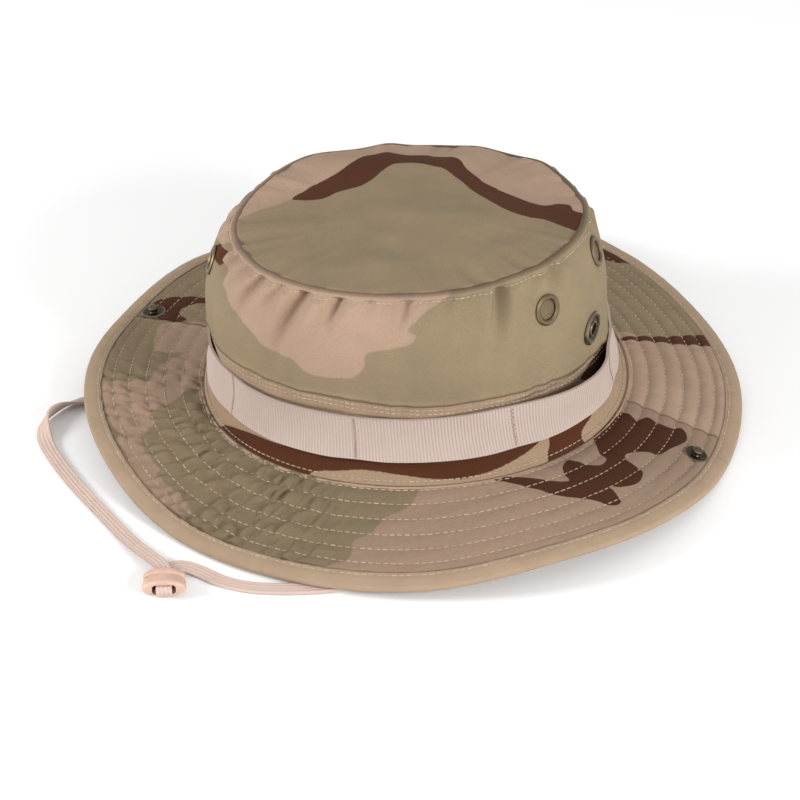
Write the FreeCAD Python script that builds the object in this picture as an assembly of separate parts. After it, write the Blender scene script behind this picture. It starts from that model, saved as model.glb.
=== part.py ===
import FreeCAD, Part
import math
import os
from FreeCAD import Placement, Rotation, Vector

# Boonie hat lying crown up on a table.  Millimetres, +Z up, the hat's front towards -Y, the wearer's left
# towards +X.  Angles go round the crown in degrees from +X, so the front is at 270 and the back seam at 90.
# Cloth pieces are closed solids with a small gap between plies, and each sub-part is its own file in parts/.

# Where the sewing pattern's centre lies, so that the hat without its cord is centred on the origin
HAT_CENTRE = Vector(0.97, -0.77, 0.283)

# Headline: the seam between crown and brim, round in plan and uneven in height because the hat is soft
HEADLINE_RADIUS = 93.5
HEADLINE_HEIGHT = 17.2
HEADLINE_TILT = 2.8
HEADLINE_TILT_TOWARDS = 55.0
HEADLINE_SADDLE = 3.1
HEADLINE_SADDLE_LOW = 22.0

# Brim: width along the cloth, and the height of its edge at equal steps round from +X
BRIM_WIDTH = 52.0
EDGE_HEIGHTS = [2.0, 5.3, 7.0, 12.7, 16.2, 3.0, 4.2, 11.5, 9.2, 12.9, 12.1, 2.6, 3.6, 5.8, 12.8, 9.2]
LEFT_SEAM = 5.5
RIGHT_SEAM = 180.0
BACK_SEAM = 90.0

# Crown wall: leans in from the headline to the top seam, drawn in above the headline and full near the top
TOP_RADIUS = 75.0
TOP_HEIGHT = 94.5
TOP_TILT = 7.7
TOP_TILT_TOWARDS = -35.0
TOP_CENTRE = Vector(-2.2, -2.0, 0.0)
WALL_WAIST = 9.3
WALL_FULLNESS = 12.3
WALL_LEAN = -2.6
TOP_DOME = 3.0

# Lower band: the strip of cloth under the wall's horizontal seam, deeper at the wearer's right front
BAND_DEPTH = 0.375
BAND_DEPTH_SWING = 0.07
BAND_DEEPEST = 240.0

# Cloth plies, as offsets from the middle surface of the wall or brim
WALL_PLY = (-0.5, 0.5)
BAND_PLY = (-0.6, 0.6)
SWEATBAND_PLY = (-2.2, -0.9)
LABEL_PLY = (-3.0, -2.4)
SWEATBAND_DEPTH = 0.36
BRIM_PLIES = {"top": (0.5, 1.2), "core": (-0.3, 0.3), "under": (-1.2, -0.5)}
BINDING_WIDTH = 6.5
BINDING_INSIDE = 1.35
BINDING_OUTSIDE = 1.95
SEWN_GAP = 0.2
SEAM_LEVEL = 0.002
TOP_SEAM_LEVEL = 0.996
TOP_SEAM_INSET = 0.9

# Webbing band and the bar tacks that divide it into loops
WEBBING_WIDTH = 19.0
WEBBING_HEIGHT = 10.5
WEBBING_PLY = (0.9, 2.1)
WEBBING_GAPE = 7.0
WEBBING_RISE = 0.5
WEBBING_LOOSE_AT = -13.0
WEBBING_LOOSE_WIDTH = 20.0
WEBBING_JOIN = 112.0
TACK_FIRST = -127.0
TACK_STEP = 43.8
TACK_COUNT = 8
TACK_WIDTH = 1.5

# Side flaps: the parts of the brim beyond a straight fold, which turn up until the stud meets its socket
FOLD_X = 95.0
FOLD_GAP = 0.2
FOLD_HEIGHT = {"left": 22.9, "right": 18.4}
FOLD_LIMIT = {"left": 122.0, "right": 100.0}
SNAP_Y = {"left": -5.0, "right": 5.0}
STUD_REACH = 39.0
SOCKET_LEVEL = {"left": 0.52, "right": 0.57}

# Snap pieces, each turned round its own axis: outlines of (radius, height above the middle of the cloth)
SNAP_SOCKET = [(2.7, -1.4), (3.0, -1.4), (3.0, 0.65), (7.3, 0.65), (7.5, 1.0), (7.3, 1.7), (6.6, 2.2),
               (5.6, 2.0), (4.6, 1.5), (3.8, 1.5), (3.3, 2.0), (2.7, 2.0)]
SNAP_SOCKET_BACKING = [(0.0, -2.5), (6.0, -2.5), (6.0, -1.6), (0.0, -1.6)]
SNAP_STUD = [(0.0, -1.5), (1.6, -1.5), (1.6, 1.4), (5.5, 1.4), (5.5, 1.8), (4.6, 2.2), (2.4, 2.2), (2.0, 2.6),
             (2.0, 3.3), (2.3, 3.8), (2.1, 4.4), (1.2, 4.7), (0.0, 4.7)]
SNAP_STUD_RIVET = [(1.75, -2.3), (5.4, -2.3), (5.4, -1.5), (1.75, -1.5)]
SOCKET_HOLE = 3.2
STUD_HOLE = 1.9

# Screened vents, two on each side of the crown: angle round the crown and level on the wall; then their pieces
VENTS = {"left_front": (-25.0, 0.80), "left_rear": (7.0, 0.87), "right_front": (205.0, 0.80),
         "right_rear": (173.0, 0.87)}
VENT_EYELET = [(4.3, -2.4), (4.6, -2.4), (4.6, 0.65), (6.7, 0.65), (6.7, 0.95), (6.0, 1.5), (4.9, 1.5),
               (4.3, 1.0)]
VENT_WASHER = [(4.8, -2.0), (6.5, -2.0), (6.5, -1.35), (4.8, -1.35)]
VENT_SCREEN = [(0.0, 0.2), (4.15, 0.2), (4.15, 0.5), (0.0, 0.5)]
VENT_HOLE = 4.8

# Chin cord: a flat braid sewn in at both sides of the headline.  Both strands lie on the table and pass, one
# over the other, through an oval slider, beyond whose mouth the cord folds back on itself.
CORD_WIDTH = 6.5
CORD_THICKNESS = 1.5
CORD_LAY = 0.9
ANCHOR_ANGLE = {"left": -6.0, "right": 184.0}
ANCHOR_SIZE = (2.4, 8.0, 6.5)
ANCHOR_RADIUS = 92.6
SLIDER_CENTRE = Vector(-41.5, -166.5, 4.3)
SLIDER_TURN = -65.0
SLIDER_HALF_LENGTH = 5.0
SLIDER_SLOT = (9.6, 4.6)
STRAND_RISE = 1.15
FOLD_REACH = 4.6
STRAIGHT_BEHIND = 3.8
RIGHT_ROUTE = [(-100.5, -12.5, 5.6), (-108, -24, 2.4), (-118, -38, CORD_LAY), (-130, -53, 0.95),
               (-140, -66, CORD_LAY), (-144, -79, CORD_LAY), (-138, -91.5, CORD_LAY), (-123.5, -105, CORD_LAY),
               (-106, -118.5, CORD_LAY), (-87.5, -131, CORD_LAY), (-69.5, -143.5, 1.4), (-57.5, -151.5, 3.6)]
LEFT_ROUTE = [(-41.5, -151.8, 2.75), (-33.2, -151.2, 1.5), (-23.5, -153.6, CORD_LAY), (-10, -153.2, CORD_LAY),
              (5, -148, CORD_LAY), (20, -140.5, CORD_LAY), (36, -128, CORD_LAY), (52, -114, CORD_LAY),
              (69, -106, CORD_LAY), (85, -95, CORD_LAY), (97, -78, CORD_LAY), (103.5, -58, CORD_LAY),
              (105, -38, 2.4), (101.5, -20, 6.6)]


def mix(low, high, share):
    return low + (high - low) * share


def cosine(degrees):
    return math.cos(math.radians(degrees))


def sine(degrees):
    return math.sin(math.radians(degrees))


def bell(degrees, width):
    """Smooth bump of height 1 at zero, for an angle counted either way round."""
    turned = (degrees + 180.0) % 360.0 - 180.0
    return math.exp(-(turned / width) ** 2)


def spread(first, last, count):
    return [mix(first, last, i / (count - 1)) for i in range(count)]


def edge_height(theta):
    """Height of the brim's edge: a smooth closed curve through EDGE_HEIGHTS."""
    place = (theta % 360.0) / 360.0 * len(EDGE_HEIGHTS)
    index = int(place)
    t = place - index
    a, b, c, d = [EDGE_HEIGHTS[(index + k) % len(EDGE_HEIGHTS)] for k in (-1, 0, 1, 2)]
    return b + 0.5 * t * (c - a + t * (2 * a - 5 * b + 4 * c - d + t * (3 * (b - c) + d - a)))


def headline_height(theta):
    tilt = HEADLINE_TILT * cosine(theta - HEADLINE_TILT_TOWARDS)
    return HEADLINE_HEIGHT + tilt - HEADLINE_SADDLE * cosine(2 * (theta - HEADLINE_SADDLE_LOW))


def top_height(theta):
    return TOP_HEIGHT + TOP_TILT * cosine(theta - TOP_TILT_TOWARDS)


def band_top(theta):
    """Level of the seam between the lower band and the wall."""
    return BAND_DEPTH + BAND_DEPTH_SWING * cosine(theta - BAND_DEEPEST)


def wall_point(theta, level, offset=0.0):
    """Point on the crown wall, from level 0 at the headline to 1 at the top seam; offset outwards."""
    waist = WALL_WAIST * 4.0 * level * (1.0 - level)
    fullness = WALL_FULLNESS * 6.75 * level * level * (1.0 - level)
    radius = mix(HEADLINE_RADIUS, TOP_RADIUS, level) - waist + fullness + offset
    x = TOP_CENTRE.x * level + WALL_LEAN * 4.0 * level * (1.0 - level) + radius * cosine(theta)
    y = TOP_CENTRE.y * level + radius * sine(theta)
    z = mix(headline_height(theta), top_height(theta), level)
    return HAT_CENTRE + Vector(x, y, z)


def brim_point(theta, reach, offset=0.0):
    """Point in the brim, reach mm out from the headline along the cloth; offset upwards."""
    drop = headline_height(theta) - edge_height(theta)
    run = math.sqrt(BRIM_WIDTH ** 2 - drop ** 2)
    radius = HEADLINE_RADIUS + run * reach / BRIM_WIDTH
    z = headline_height(theta) - drop * reach / BRIM_WIDTH + offset
    return HAT_CENTRE + Vector(radius * cosine(theta), radius * sine(theta), z)


def webbing_point(theta, height, offset=0.0):
    """Point on the webbing, height mm above its lower edge; it stands off where it is loose."""
    loose = bell(theta - WEBBING_LOOSE_AT, WEBBING_LOOSE_WIDTH)
    above = WEBBING_HEIGHT + WEBBING_RISE * loose + height
    level = above / (top_height(theta) - headline_height(theta))
    gape = WEBBING_GAPE * loose * (0.3 + 0.7 * height / WEBBING_WIDTH)
    return wall_point(theta, level, offset + gape)


def skin(grid):
    surface = Part.BSplineSurface()
    surface.interpolate(grid)
    return surface


def borders(surface):
    u0, u1, v0, v1 = surface.bounds()
    return [surface.uIso(u0), surface.uIso(u1), surface.vIso(v0), surface.vIso(v1)]


def closed_solid(faces):
    shell = Part.Shell(faces)
    shell.sewShape()
    solid = Part.Solid(shell)
    if solid.Volume < 0:
        solid.reverse()
    return solid


def cloth(place, thetas, reaches, ply):
    """Solid sheet of cloth between two smooth skins, at the two offsets of its ply."""
    low, high = [skin([[place(a, b, offset) for b in reaches] for a in thetas]) for offset in ply]
    sides = [Part.makeRuledSurface(a.toShape(), b.toShape()) for a, b in zip(borders(low), borders(high))]
    return closed_solid([low.toShape(), high.toShape()] + sides)


def ring_angles(seam):
    """Angles right round from a seam back to it, leaving the sewn gap open."""
    gap = math.degrees(0.5 * SEWN_GAP / HEADLINE_RADIUS)
    return spread(seam + gap, seam + 360.0 - gap, 61)


def seat(point, normal):
    """Where a turned piece goes: its own +Z along the normal."""
    return Placement(point, Rotation(Vector(0, 0, 1), normal))


def wall_seat(theta, level):
    along = wall_point(theta + 1.0, level) - wall_point(theta - 1.0, level)
    up = wall_point(theta, level + 0.02) - wall_point(theta, level - 0.02)
    return seat(wall_point(theta, level), along.cross(up))


def brim_seat(theta, reach):
    along = brim_point(theta + 1.0, reach) - brim_point(theta - 1.0, reach)
    out = brim_point(theta, reach + 1.0) - brim_point(theta, reach - 1.0)
    return seat(brim_point(theta, reach), out.cross(along))


def turned(profile, where):
    """Solid of revolution of an outline of (radius, height) points, set in place."""
    points = [Vector(r, 0, z) for r, z in profile]
    face = Part.Face(Part.makePolygon(points + points[:1]))
    solid = face.revolve(Vector(0, 0, 0), Vector(0, 0, 1), 360)
    solid.Placement = where
    return solid


def punched(solid, where, radius):
    hole = Part.makeCylinder(radius, 16.0, Vector(0, 0, -8))
    hole.Placement = where
    return solid.cut(hole)


def snap_angle(side, radius):
    """Angle round the hat at which a snap piece at this radius lies on its side's snap line."""
    tilt = math.degrees(math.asin(SNAP_Y[side] / radius))
    return tilt if side == "left" else 180.0 - tilt


def socket_seat(side):
    level = SOCKET_LEVEL[side]
    middle = wall_point(0.0, level) - wall_point(180.0, level)
    return wall_seat(snap_angle(side, 0.5 * middle.Length), level)


def stud_seat(side):
    return brim_seat(snap_angle(side, HEADLINE_RADIUS + STUD_REACH), STUD_REACH)


def crown_side():
    def place(theta, share, offset):
        start = band_top(theta) + SEAM_LEVEL
        return wall_point(theta, mix(start, TOP_SEAM_LEVEL, share), offset)
    wall = cloth(place, ring_angles(BACK_SEAM), spread(0.0, 1.0, 12), WALL_PLY)
    for theta, level in VENTS.values():
        wall = punched(wall, wall_seat(theta, level), VENT_HOLE)
    for side in SNAP_Y:
        wall = punched(wall, socket_seat(side), SOCKET_HOLE)
    return wall


def lower_band():
    def place(theta, share, offset):
        return wall_point(theta, mix(0.0, band_top(theta) - SEAM_LEVEL, share), offset)
    return cloth(place, ring_angles(BACK_SEAM), spread(0.0, 1.0, 8), BAND_PLY)


def crown_top():
    """Round top panel, slightly domed, in the slope of the slumped top seam."""
    centre = HAT_CENTRE + TOP_CENTRE

    def height(x, y):
        slope = TOP_TILT * (x * cosine(TOP_TILT_TOWARDS) + y * sine(TOP_TILT_TOWARDS)) / TOP_RADIUS
        return TOP_HEIGHT + slope + TOP_DOME * (1.0 - (x * x + y * y) / TOP_RADIUS ** 2)

    def place(x, y, offset):
        return centre + Vector(x, y, height(x, y) + offset)
    side = spread(-TOP_RADIUS - 5.0, TOP_RADIUS + 5.0, 9)
    slab = cloth(place, side, side, WALL_PLY)
    rim = Part.makeCylinder(TOP_RADIUS - TOP_SEAM_INSET, 60.0, centre + Vector(0, 0, TOP_HEIGHT - 30.0))
    return slab.common(rim)


def sweatband():
    def place(theta, share, offset):
        return wall_point(theta, mix(0.02, SWEATBAND_DEPTH, share), offset)
    return cloth(place, ring_angles(BACK_SEAM), spread(0.0, 1.0, 8), SWEATBAND_PLY)


def size_label():
    """Blank tab sewn to the sweatband at the back."""
    def place(theta, level, offset):
        return wall_point(theta, level, offset)
    return cloth(place, spread(80.0, 100.0, 5), spread(0.08, 0.28, 4), LABEL_PLY)


def webbing_band():
    return cloth(webbing_point, ring_angles(WEBBING_JOIN), spread(0.0, WEBBING_WIDTH, 5), WEBBING_PLY)


def webbing_tacks():
    """The bar tacks, one small raised bar of stitching each."""
    half = math.degrees(0.5 * TACK_WIDTH / HEADLINE_RADIUS)
    heights = spread(0.8, WEBBING_WIDTH - 0.8, 4)
    ply = (WEBBING_PLY[1] + 0.1, WEBBING_PLY[1] + 0.6)
    middles = [TACK_FIRST + TACK_STEP * k for k in range(TACK_COUNT)]
    return Part.Compound([cloth(webbing_point, spread(m - half, m + half, 3), heights, ply) for m in middles])


def fold_axis(side):
    """Point on a flap's fold line, which runs along Y just above the cloth."""
    x = FOLD_X if side == "left" else -FOLD_X
    return Vector(HAT_CENTRE.x + x, 0.0, HAT_CENTRE.z + FOLD_HEIGHT[side])


def brim_zone(zone):
    """Block that holds the middle of the brim, or one side flap, up to its fold."""
    size = 400.0
    half_gap = 0.5 * FOLD_GAP
    left, right = fold_axis("left").x, fold_axis("right").x
    start, end = {"centre": (right + half_gap, left - half_gap), "left": (left + half_gap, size),
                  "right": (-size, right - half_gap)}[zone]
    return Part.makeBox(end - start, size, size, Vector(start, -0.5 * size, -0.5 * size))


def brim_angles(part):
    gap = math.degrees(0.5 * SEWN_GAP / HEADLINE_RADIUS)
    if part == "front":
        return spread(RIGHT_SEAM + gap, LEFT_SEAM + 360.0 - gap, 41)
    return spread(LEFT_SEAM + gap, RIGHT_SEAM - gap, 41)


def brim_ply(layer, part):
    return cloth(brim_point, brim_angles(part), spread(0.8, BRIM_WIDTH, 5), BRIM_PLIES[layer])


def brim_binding(part):
    """Tape folded over the brim's edge, open towards the crown."""
    angles = brim_angles(part)
    outside = spread(BRIM_WIDTH - BINDING_WIDTH, BRIM_WIDTH + 0.9, 4)
    inside = spread(BRIM_WIDTH - BINDING_WIDTH - 1.0, BRIM_WIDTH + 0.25, 4)
    wide = [angles[0] - 0.5] + angles[1:-1] + [angles[-1] + 0.5]
    tape = cloth(brim_point, angles, outside, (-BINDING_OUTSIDE, BINDING_OUTSIDE))
    return tape.cut(cloth(brim_point, wide, inside, (-BINDING_INSIDE, BINDING_INSIDE)))


def brim_pieces():
    """Every cloth piece of the brim, split at the two folds."""
    whole = {"brim_top_front": brim_ply("top", "front"), "brim_top_back": brim_ply("top", "back"),
             "brim_under_front": brim_ply("under", "front"), "brim_under_back": brim_ply("under", "back"),
             "brim_interlining_front": brim_ply("core", "front"), "brim_interlining_back": brim_ply("core", "back"),
             "brim_binding_front": brim_binding("front"), "brim_binding_back": brim_binding("back")}
    pieces = {}
    for name, solid in whole.items():
        pieces[name] = solid.common(brim_zone("centre"))
        for side in SNAP_Y:
            piece = solid.common(brim_zone(side))
            if "binding" not in name:
                piece = punched(piece, stud_seat(side), STUD_HOLE)
            pieces[name.replace("brim", side + "_flap")] = piece
    return pieces


def vent_pieces(name, where):
    return {"vent_eyelet_" + name: turned(VENT_EYELET, where), "vent_washer_" + name: turned(VENT_WASHER, where),
            "vent_screen_" + name: turned(VENT_SCREEN, where)}


def snap_pieces(side):
    return {"snap_socket_" + side: turned(SNAP_SOCKET, socket_seat(side)),
            "snap_socket_backing_" + side: turned(SNAP_SOCKET_BACKING, socket_seat(side)),
            "snap_stud_" + side: turned(SNAP_STUD, stud_seat(side)),
            "snap_stud_rivet_" + side: turned(SNAP_STUD_RIVET, stud_seat(side))}


def anchor_frame(side):
    """Middle of the face of a cord anchor that the cord comes out of, and the direction out."""
    theta = ANCHOR_ANGLE[side]
    out = Vector(cosine(theta), sine(theta), 0)
    height = headline_height(theta) - 0.4 - 0.72 * ANCHOR_SIZE[2]
    face = HAT_CENTRE + out * (ANCHOR_RADIUS + 0.5 * ANCHOR_SIZE[0])
    return Vector(face.x, face.y, height + HAT_CENTRE.z), out


def cord_anchor(side):
    """Folded tab under the headline that the cord's end is sewn to."""
    face, out = anchor_frame(side)
    depth, width, height = ANCHOR_SIZE
    top = headline_height(ANCHOR_ANGLE[side]) - 0.4 + HAT_CENTRE.z
    tab = Part.makeBox(depth, width, height, Vector(-depth, -0.5 * width, 0))
    tab.Placement = Placement(Vector(face.x, face.y, top - height), Rotation(Vector(1, 0, 0), out))
    return tab


def slider_place():
    """The slider's frame: local +X is the way its mouth faces, +Z is up."""
    return Placement(SLIDER_CENTRE, Rotation(Vector(0, 0, 1), SLIDER_TURN))


def oval_slab(start, end, half_width, half_height, rounding):
    """Slab of oval section along local X, with rounded rims."""
    oval = Part.Ellipse(Vector(start, 0, 0), half_width, half_height)
    oval.rotate(Placement(Vector(start, 0, 0), Rotation(Vector(0, 0, 1), 90)))
    face = Part.Face(Part.Wire(oval.toShape()))
    face.rotate(Vector(start, 0, 0), Vector(0, 1, 0), 90)
    slab = face.extrude(Vector(end - start, 0, 0))
    rims = [edge for edge in slab.Edges if isinstance(edge.Curve, Part.Ellipse)]
    return slab.makeFillet(rounding, rims)


def cord_slider():
    """Oval barrel with a lip at its rear, a groove, and a flat slot right through for the two strands."""
    length = SLIDER_HALF_LENGTH
    lip = oval_slab(-length, -1.6, 8.6, 4.2, 1.2)
    neck = oval_slab(-2.6, 0.6, 7.4, 3.5, 0.4)
    body = oval_slab(-0.9, length, 8.8, 4.2, 1.4)
    width, height = SLIDER_SLOT
    slot = Part.makeBox(4 * length, width, height, Vector(-2 * length, -0.5 * width, -0.5 * height))
    along = [edge for edge in slot.Edges if abs(edge.tangentAt(edge.FirstParameter).x) > 0.9]
    slider = lip.fuse([neck, body]).removeSplitter().cut(slot.makeFillet(1.6, along))
    slider.Placement = slider_place()
    return slider


def strand_line(rise):
    """Where a strand passes through the slider: its points at the fold and behind the rear lip."""
    place = slider_place()
    return [place.multVec(Vector(reach, 0, rise)) for reach in (FOLD_REACH, -SLIDER_HALF_LENGTH - STRAIGHT_BEHIND)]


def cord_routes():
    """Points of the two strands, each from its anchor to the fold in the slider's mouth."""
    routes = {}
    for side, middle, rise in (("right", RIGHT_ROUTE, STRAND_RISE), ("left", LEFT_ROUTE[::-1], -STRAND_RISE)):
        fold, rear = strand_line(rise)
        routes[side] = [anchor_frame(side)[0]] + [Vector(*point) for point in middle] + [rear, fold]
    return routes


def rounded_path(points):
    """Straight runs joined by tangent arcs, each arc as large as its two runs allow."""
    edges = []
    radii = []
    last = points[0]
    for before, corner, after in zip(points, points[1:], points[2:]):
        back, ahead = before - corner, after - corner
        cut = 0.45 * min(back.Length, ahead.Length)
        back.normalize()
        ahead.normalize()
        half_turn = 0.5 * (math.pi - back.getAngle(ahead))
        radius = cut / math.tan(half_turn)
        middle = (back + ahead).normalize()
        start, end = corner + back * cut, corner + ahead * cut
        crown = corner + middle * (radius / math.cos(half_turn) - radius)
        edges.append(Part.LineSegment(last, start).toShape())
        edges.append(Part.Arc(start, crown, end).toShape())
        radii.append(radius)
        last = end
    edges.append(Part.LineSegment(last, points[-1]).toShape())
    return Part.Wire(edges), radii


def flat_tube(points):
    """Flat braid swept along its route with its width level."""
    path, radii = rounded_path(points)
    side = Vector(0, 0, 1).cross(points[1] - points[0]).normalize() * (0.5 * CORD_WIDTH)
    up = Vector(0, 0, 0.5 * CORD_THICKNESS)
    corners = [points[0] + a * side + b * up for a, b in ((-1, -1), (1, -1), (1, 1), (-1, 1), (-1, -1))]
    sweep = Part.BRepOffsetAPI.MakePipeShell(path)
    sweep.setBiNormalMode(Vector(0, 0, 1))
    sweep.add(Part.makePolygon(corners))
    sweep.build()
    sweep.makeSolid()
    solid = Part.Solid(sweep.shape())
    section = CORD_WIDTH * CORD_THICKNESS
    print("cord length", round(path.Length, 1), "volume over section x length",
          round(solid.Volume / (section * path.Length), 4), "radii", [round(r, 1) for r in radii])
    return solid


def cord_fold():
    """The bight in the slider's mouth, where the upper strand turns down into the lower one."""
    outer = STRAND_RISE + 0.5 * CORD_THICKNESS
    inner = STRAND_RISE - 0.5 * CORD_THICKNESS
    start = Vector(0, 0.5 * CORD_WIDTH, 0)
    across = Vector(0, 1, 0)
    front = Part.makeBox(2 * outer, 2 * CORD_WIDTH, 4 * outer, Vector(0, -CORD_WIDTH, -2 * outer))
    core = Part.makeCylinder(inner, CORD_WIDTH, start * -1, across)
    fold = Part.makeCylinder(outer, CORD_WIDTH, start * -1, across).cut(core).common(front)
    fold.Placement = slider_place().multiply(Placement(Vector(FOLD_REACH, 0, 0), Rotation()))
    return fold


def cord_pieces():
    pieces = {"chin_cord_" + side: flat_tube(route) for side, route in cord_routes().items()}
    pieces["chin_cord_fold"] = cord_fold()
    pieces["cord_slider"] = cord_slider()
    return pieces


def build_parts():
    parts = {"crown_top": crown_top(), "crown_side": crown_side(), "lower_band": lower_band(),
             "sweatband": sweatband(), "size_label": size_label(), "webbing_band": webbing_band(),
             "webbing_tacks": webbing_tacks()}
    parts.update(brim_pieces())
    for name, (theta, level) in VENTS.items():
        parts.update(vent_pieces(name, wall_seat(theta, level)))
    for side in SNAP_Y:
        parts.update(snap_pieces(side))
        parts["cord_anchor_" + side] = cord_anchor(side)
    return parts


def main():
    os.makedirs("parts", exist_ok=True)
    parts = build_parts()
    box = FreeCAD.BoundBox()
    for shape in parts.values():
        box.add(shape.optimalBoundingBox())
    for side in SNAP_Y:
        print(side, "fold", [round(v, 2) for v in fold_axis(side)], "turns up to", FOLD_LIMIT[side])
    print("hat box", [round(v, 3) for v in (box.XMin, box.XMax, box.YMin, box.YMax, box.ZMin, box.ZMax)])
    parts.update(cord_pieces())
    for name, shape in parts.items():
        print(name, "valid", shape.isValid(), "solids", len(shape.Solids), "volume", round(shape.Volume, 1))
        shape.exportStep("parts/" + name + ".step")


main()
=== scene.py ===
import math

import bpy
import numpy as np
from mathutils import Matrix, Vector


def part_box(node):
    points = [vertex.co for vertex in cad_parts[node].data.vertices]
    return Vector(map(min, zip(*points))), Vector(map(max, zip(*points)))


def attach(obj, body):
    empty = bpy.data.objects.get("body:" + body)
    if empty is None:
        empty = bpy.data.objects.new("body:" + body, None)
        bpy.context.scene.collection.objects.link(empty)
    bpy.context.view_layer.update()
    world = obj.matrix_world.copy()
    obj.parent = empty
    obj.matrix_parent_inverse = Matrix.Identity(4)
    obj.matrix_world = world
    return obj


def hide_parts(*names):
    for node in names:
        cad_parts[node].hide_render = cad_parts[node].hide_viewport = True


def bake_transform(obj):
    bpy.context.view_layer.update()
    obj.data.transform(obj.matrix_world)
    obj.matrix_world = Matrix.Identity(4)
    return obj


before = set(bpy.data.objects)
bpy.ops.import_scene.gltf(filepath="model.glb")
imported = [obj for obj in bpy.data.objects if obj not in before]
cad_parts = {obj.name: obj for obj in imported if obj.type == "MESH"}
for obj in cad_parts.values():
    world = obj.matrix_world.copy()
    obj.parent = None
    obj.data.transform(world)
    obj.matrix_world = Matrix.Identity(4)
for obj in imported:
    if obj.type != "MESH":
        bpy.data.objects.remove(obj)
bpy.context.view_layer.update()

# Boonie hat: cloth, webbing, thread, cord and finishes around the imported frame.  Shapes are worked out in
# millimetres, in the frame's own axes, and turned into metres when a mesh is made.  Angles are degrees round the
# hat from +X; the front is at 270 and the wearer's left at 0.
MM = 0.001

# The same driving dimensions as the CAD model, in millimetres
HAT_CENTRE = np.array([0.97, -0.77, 0.283])
HEADLINE_RADIUS = 93.5
HEADLINE_HEIGHT, HEADLINE_TILT, HEADLINE_TILT_TOWARDS = 17.2, 2.8, 55.0
HEADLINE_SADDLE, HEADLINE_SADDLE_LOW = 3.1, 22.0
BRIM_WIDTH = 52.0
EDGE_HEIGHTS = np.array([2.0, 5.3, 7.0, 12.7, 16.2, 3.0, 4.2, 11.5, 9.2, 12.9, 12.1, 2.6, 3.6, 5.8, 12.8, 9.2])
LEFT_SEAM, RIGHT_SEAM, BACK_SEAM, FRONT = 5.5, 180.0, 90.0, 270.0
TOP_RADIUS, TOP_HEIGHT, TOP_TILT, TOP_TILT_TOWARDS = 75.0, 94.5, 7.7, -35.0
TOP_CENTRE = np.array([-2.2, -2.0])
WALL_WAIST, WALL_FULLNESS, WALL_LEAN, TOP_DOME = 9.3, 12.3, -2.6, 3.0
BAND_DEPTH, BAND_DEPTH_SWING, BAND_DEEPEST = 0.375, 0.07, 240.0
WEBBING_WIDTH, WEBBING_HEIGHT, WEBBING_GAPE, WEBBING_RISE = 19.0, 10.5, 7.0, 0.5
WEBBING_LOOSE_AT, WEBBING_LOOSE_WIDTH = -13.0, 20.0
TACK_FIRST, TACK_STEP, TACK_COUNT = -127.0, 43.8, 8
BINDING_WIDTH = 6.5

# Rows of stitching round the brim, as distances out from the headline along the cloth
BRIM_ROWS = [2.6, 10.0, 18.0, 26.0, 33.5, 40.5]
BINDING_ROW = BRIM_WIDTH - BINDING_WIDTH + 1.5
STITCH, GAP = 2.3, 0.8
THREAD = 0.21

# The chin cord's route: from the right anchor over the table, through the slider and back to the left anchor
CORD_WIDTH, CORD_THICKNESS = 6.5, 1.5
CORD_LAY = 0.9
RIGHT_ROUTE = [(-93.0, -7.3, 13.2), (-100.5, -12.5, 5.6), (-108, -24, 2.4), (-118, -38, CORD_LAY),
               (-130, -53, 0.95), (-140, -66, CORD_LAY), (-144, -79, CORD_LAY), (-138, -91.5, CORD_LAY),
               (-123.5, -105, CORD_LAY), (-106, -118.5, CORD_LAY), (-87.5, -131, CORD_LAY),
               (-69.5, -143.5, 1.4), (-57.5, -151.5, 3.6)]
LEFT_ROUTE = [(-41.5, -151.8, 2.75), (-33.2, -151.2, 1.5), (-23.5, -153.6, CORD_LAY), (-10, -153.2, CORD_LAY),
              (5, -148, CORD_LAY), (20, -140.5, CORD_LAY), (36, -128, CORD_LAY), (52, -114, CORD_LAY),
              (69, -106, CORD_LAY), (85, -95, CORD_LAY), (97, -78, CORD_LAY), (103.5, -58, CORD_LAY),
              (105, -38, 2.4), (101.5, -20, 6.6), (94.6, -10.6, 13.0)]
SLIDER_CENTRE, SLIDER_TURN = np.array([-41.5, -166.5, 4.3]), -65.0
STRAND_RISE, FOLD_REACH, FOLD_TIP, STRAND_REAR = 1.15, 3.6, 6.2, -8.8

# Printed shapes on the cloth.  Wall and band: (angle, level on the wall); top: (x, y) mm from its centre;
# brim: (angle, mm out from the headline).
WALL_PINK = [
    [(213, 1.05), (219, 0.92), (228, 0.82), (236, 0.77), (244, 0.72), (252, 0.65), (259, 0.65), (262, 0.60),
     (266, 0.57), (276, 0.58), (280, 0.65), (281, 0.73), (288, 0.77), (293, 0.79), (294, 0.83), (292, 0.86),
     (296, 0.93), (301, 1.05)],
    [(120, 1.05), (140, 0.82), (170, 0.78), (200, 0.88), (211, 0.96), (212, 1.05)],
    [(22, 0.62), (45, 0.72), (70, 0.66), (95, 0.52), (80, 0.36), (40, 0.38), (20, 0.46)],
]
WALL_BROWN = [
    [(203, 0.87), (208, 0.92), (219, 0.92), (215, 0.865), (207, 0.84)],
    [(50, 0.92), (75, 0.80), (105, 0.72), (130, 0.80), (150, 0.70), (165, 0.52), (150, 0.50), (125, 0.62),
     (100, 0.58), (78, 0.66), (58, 0.76)],
]
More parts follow.
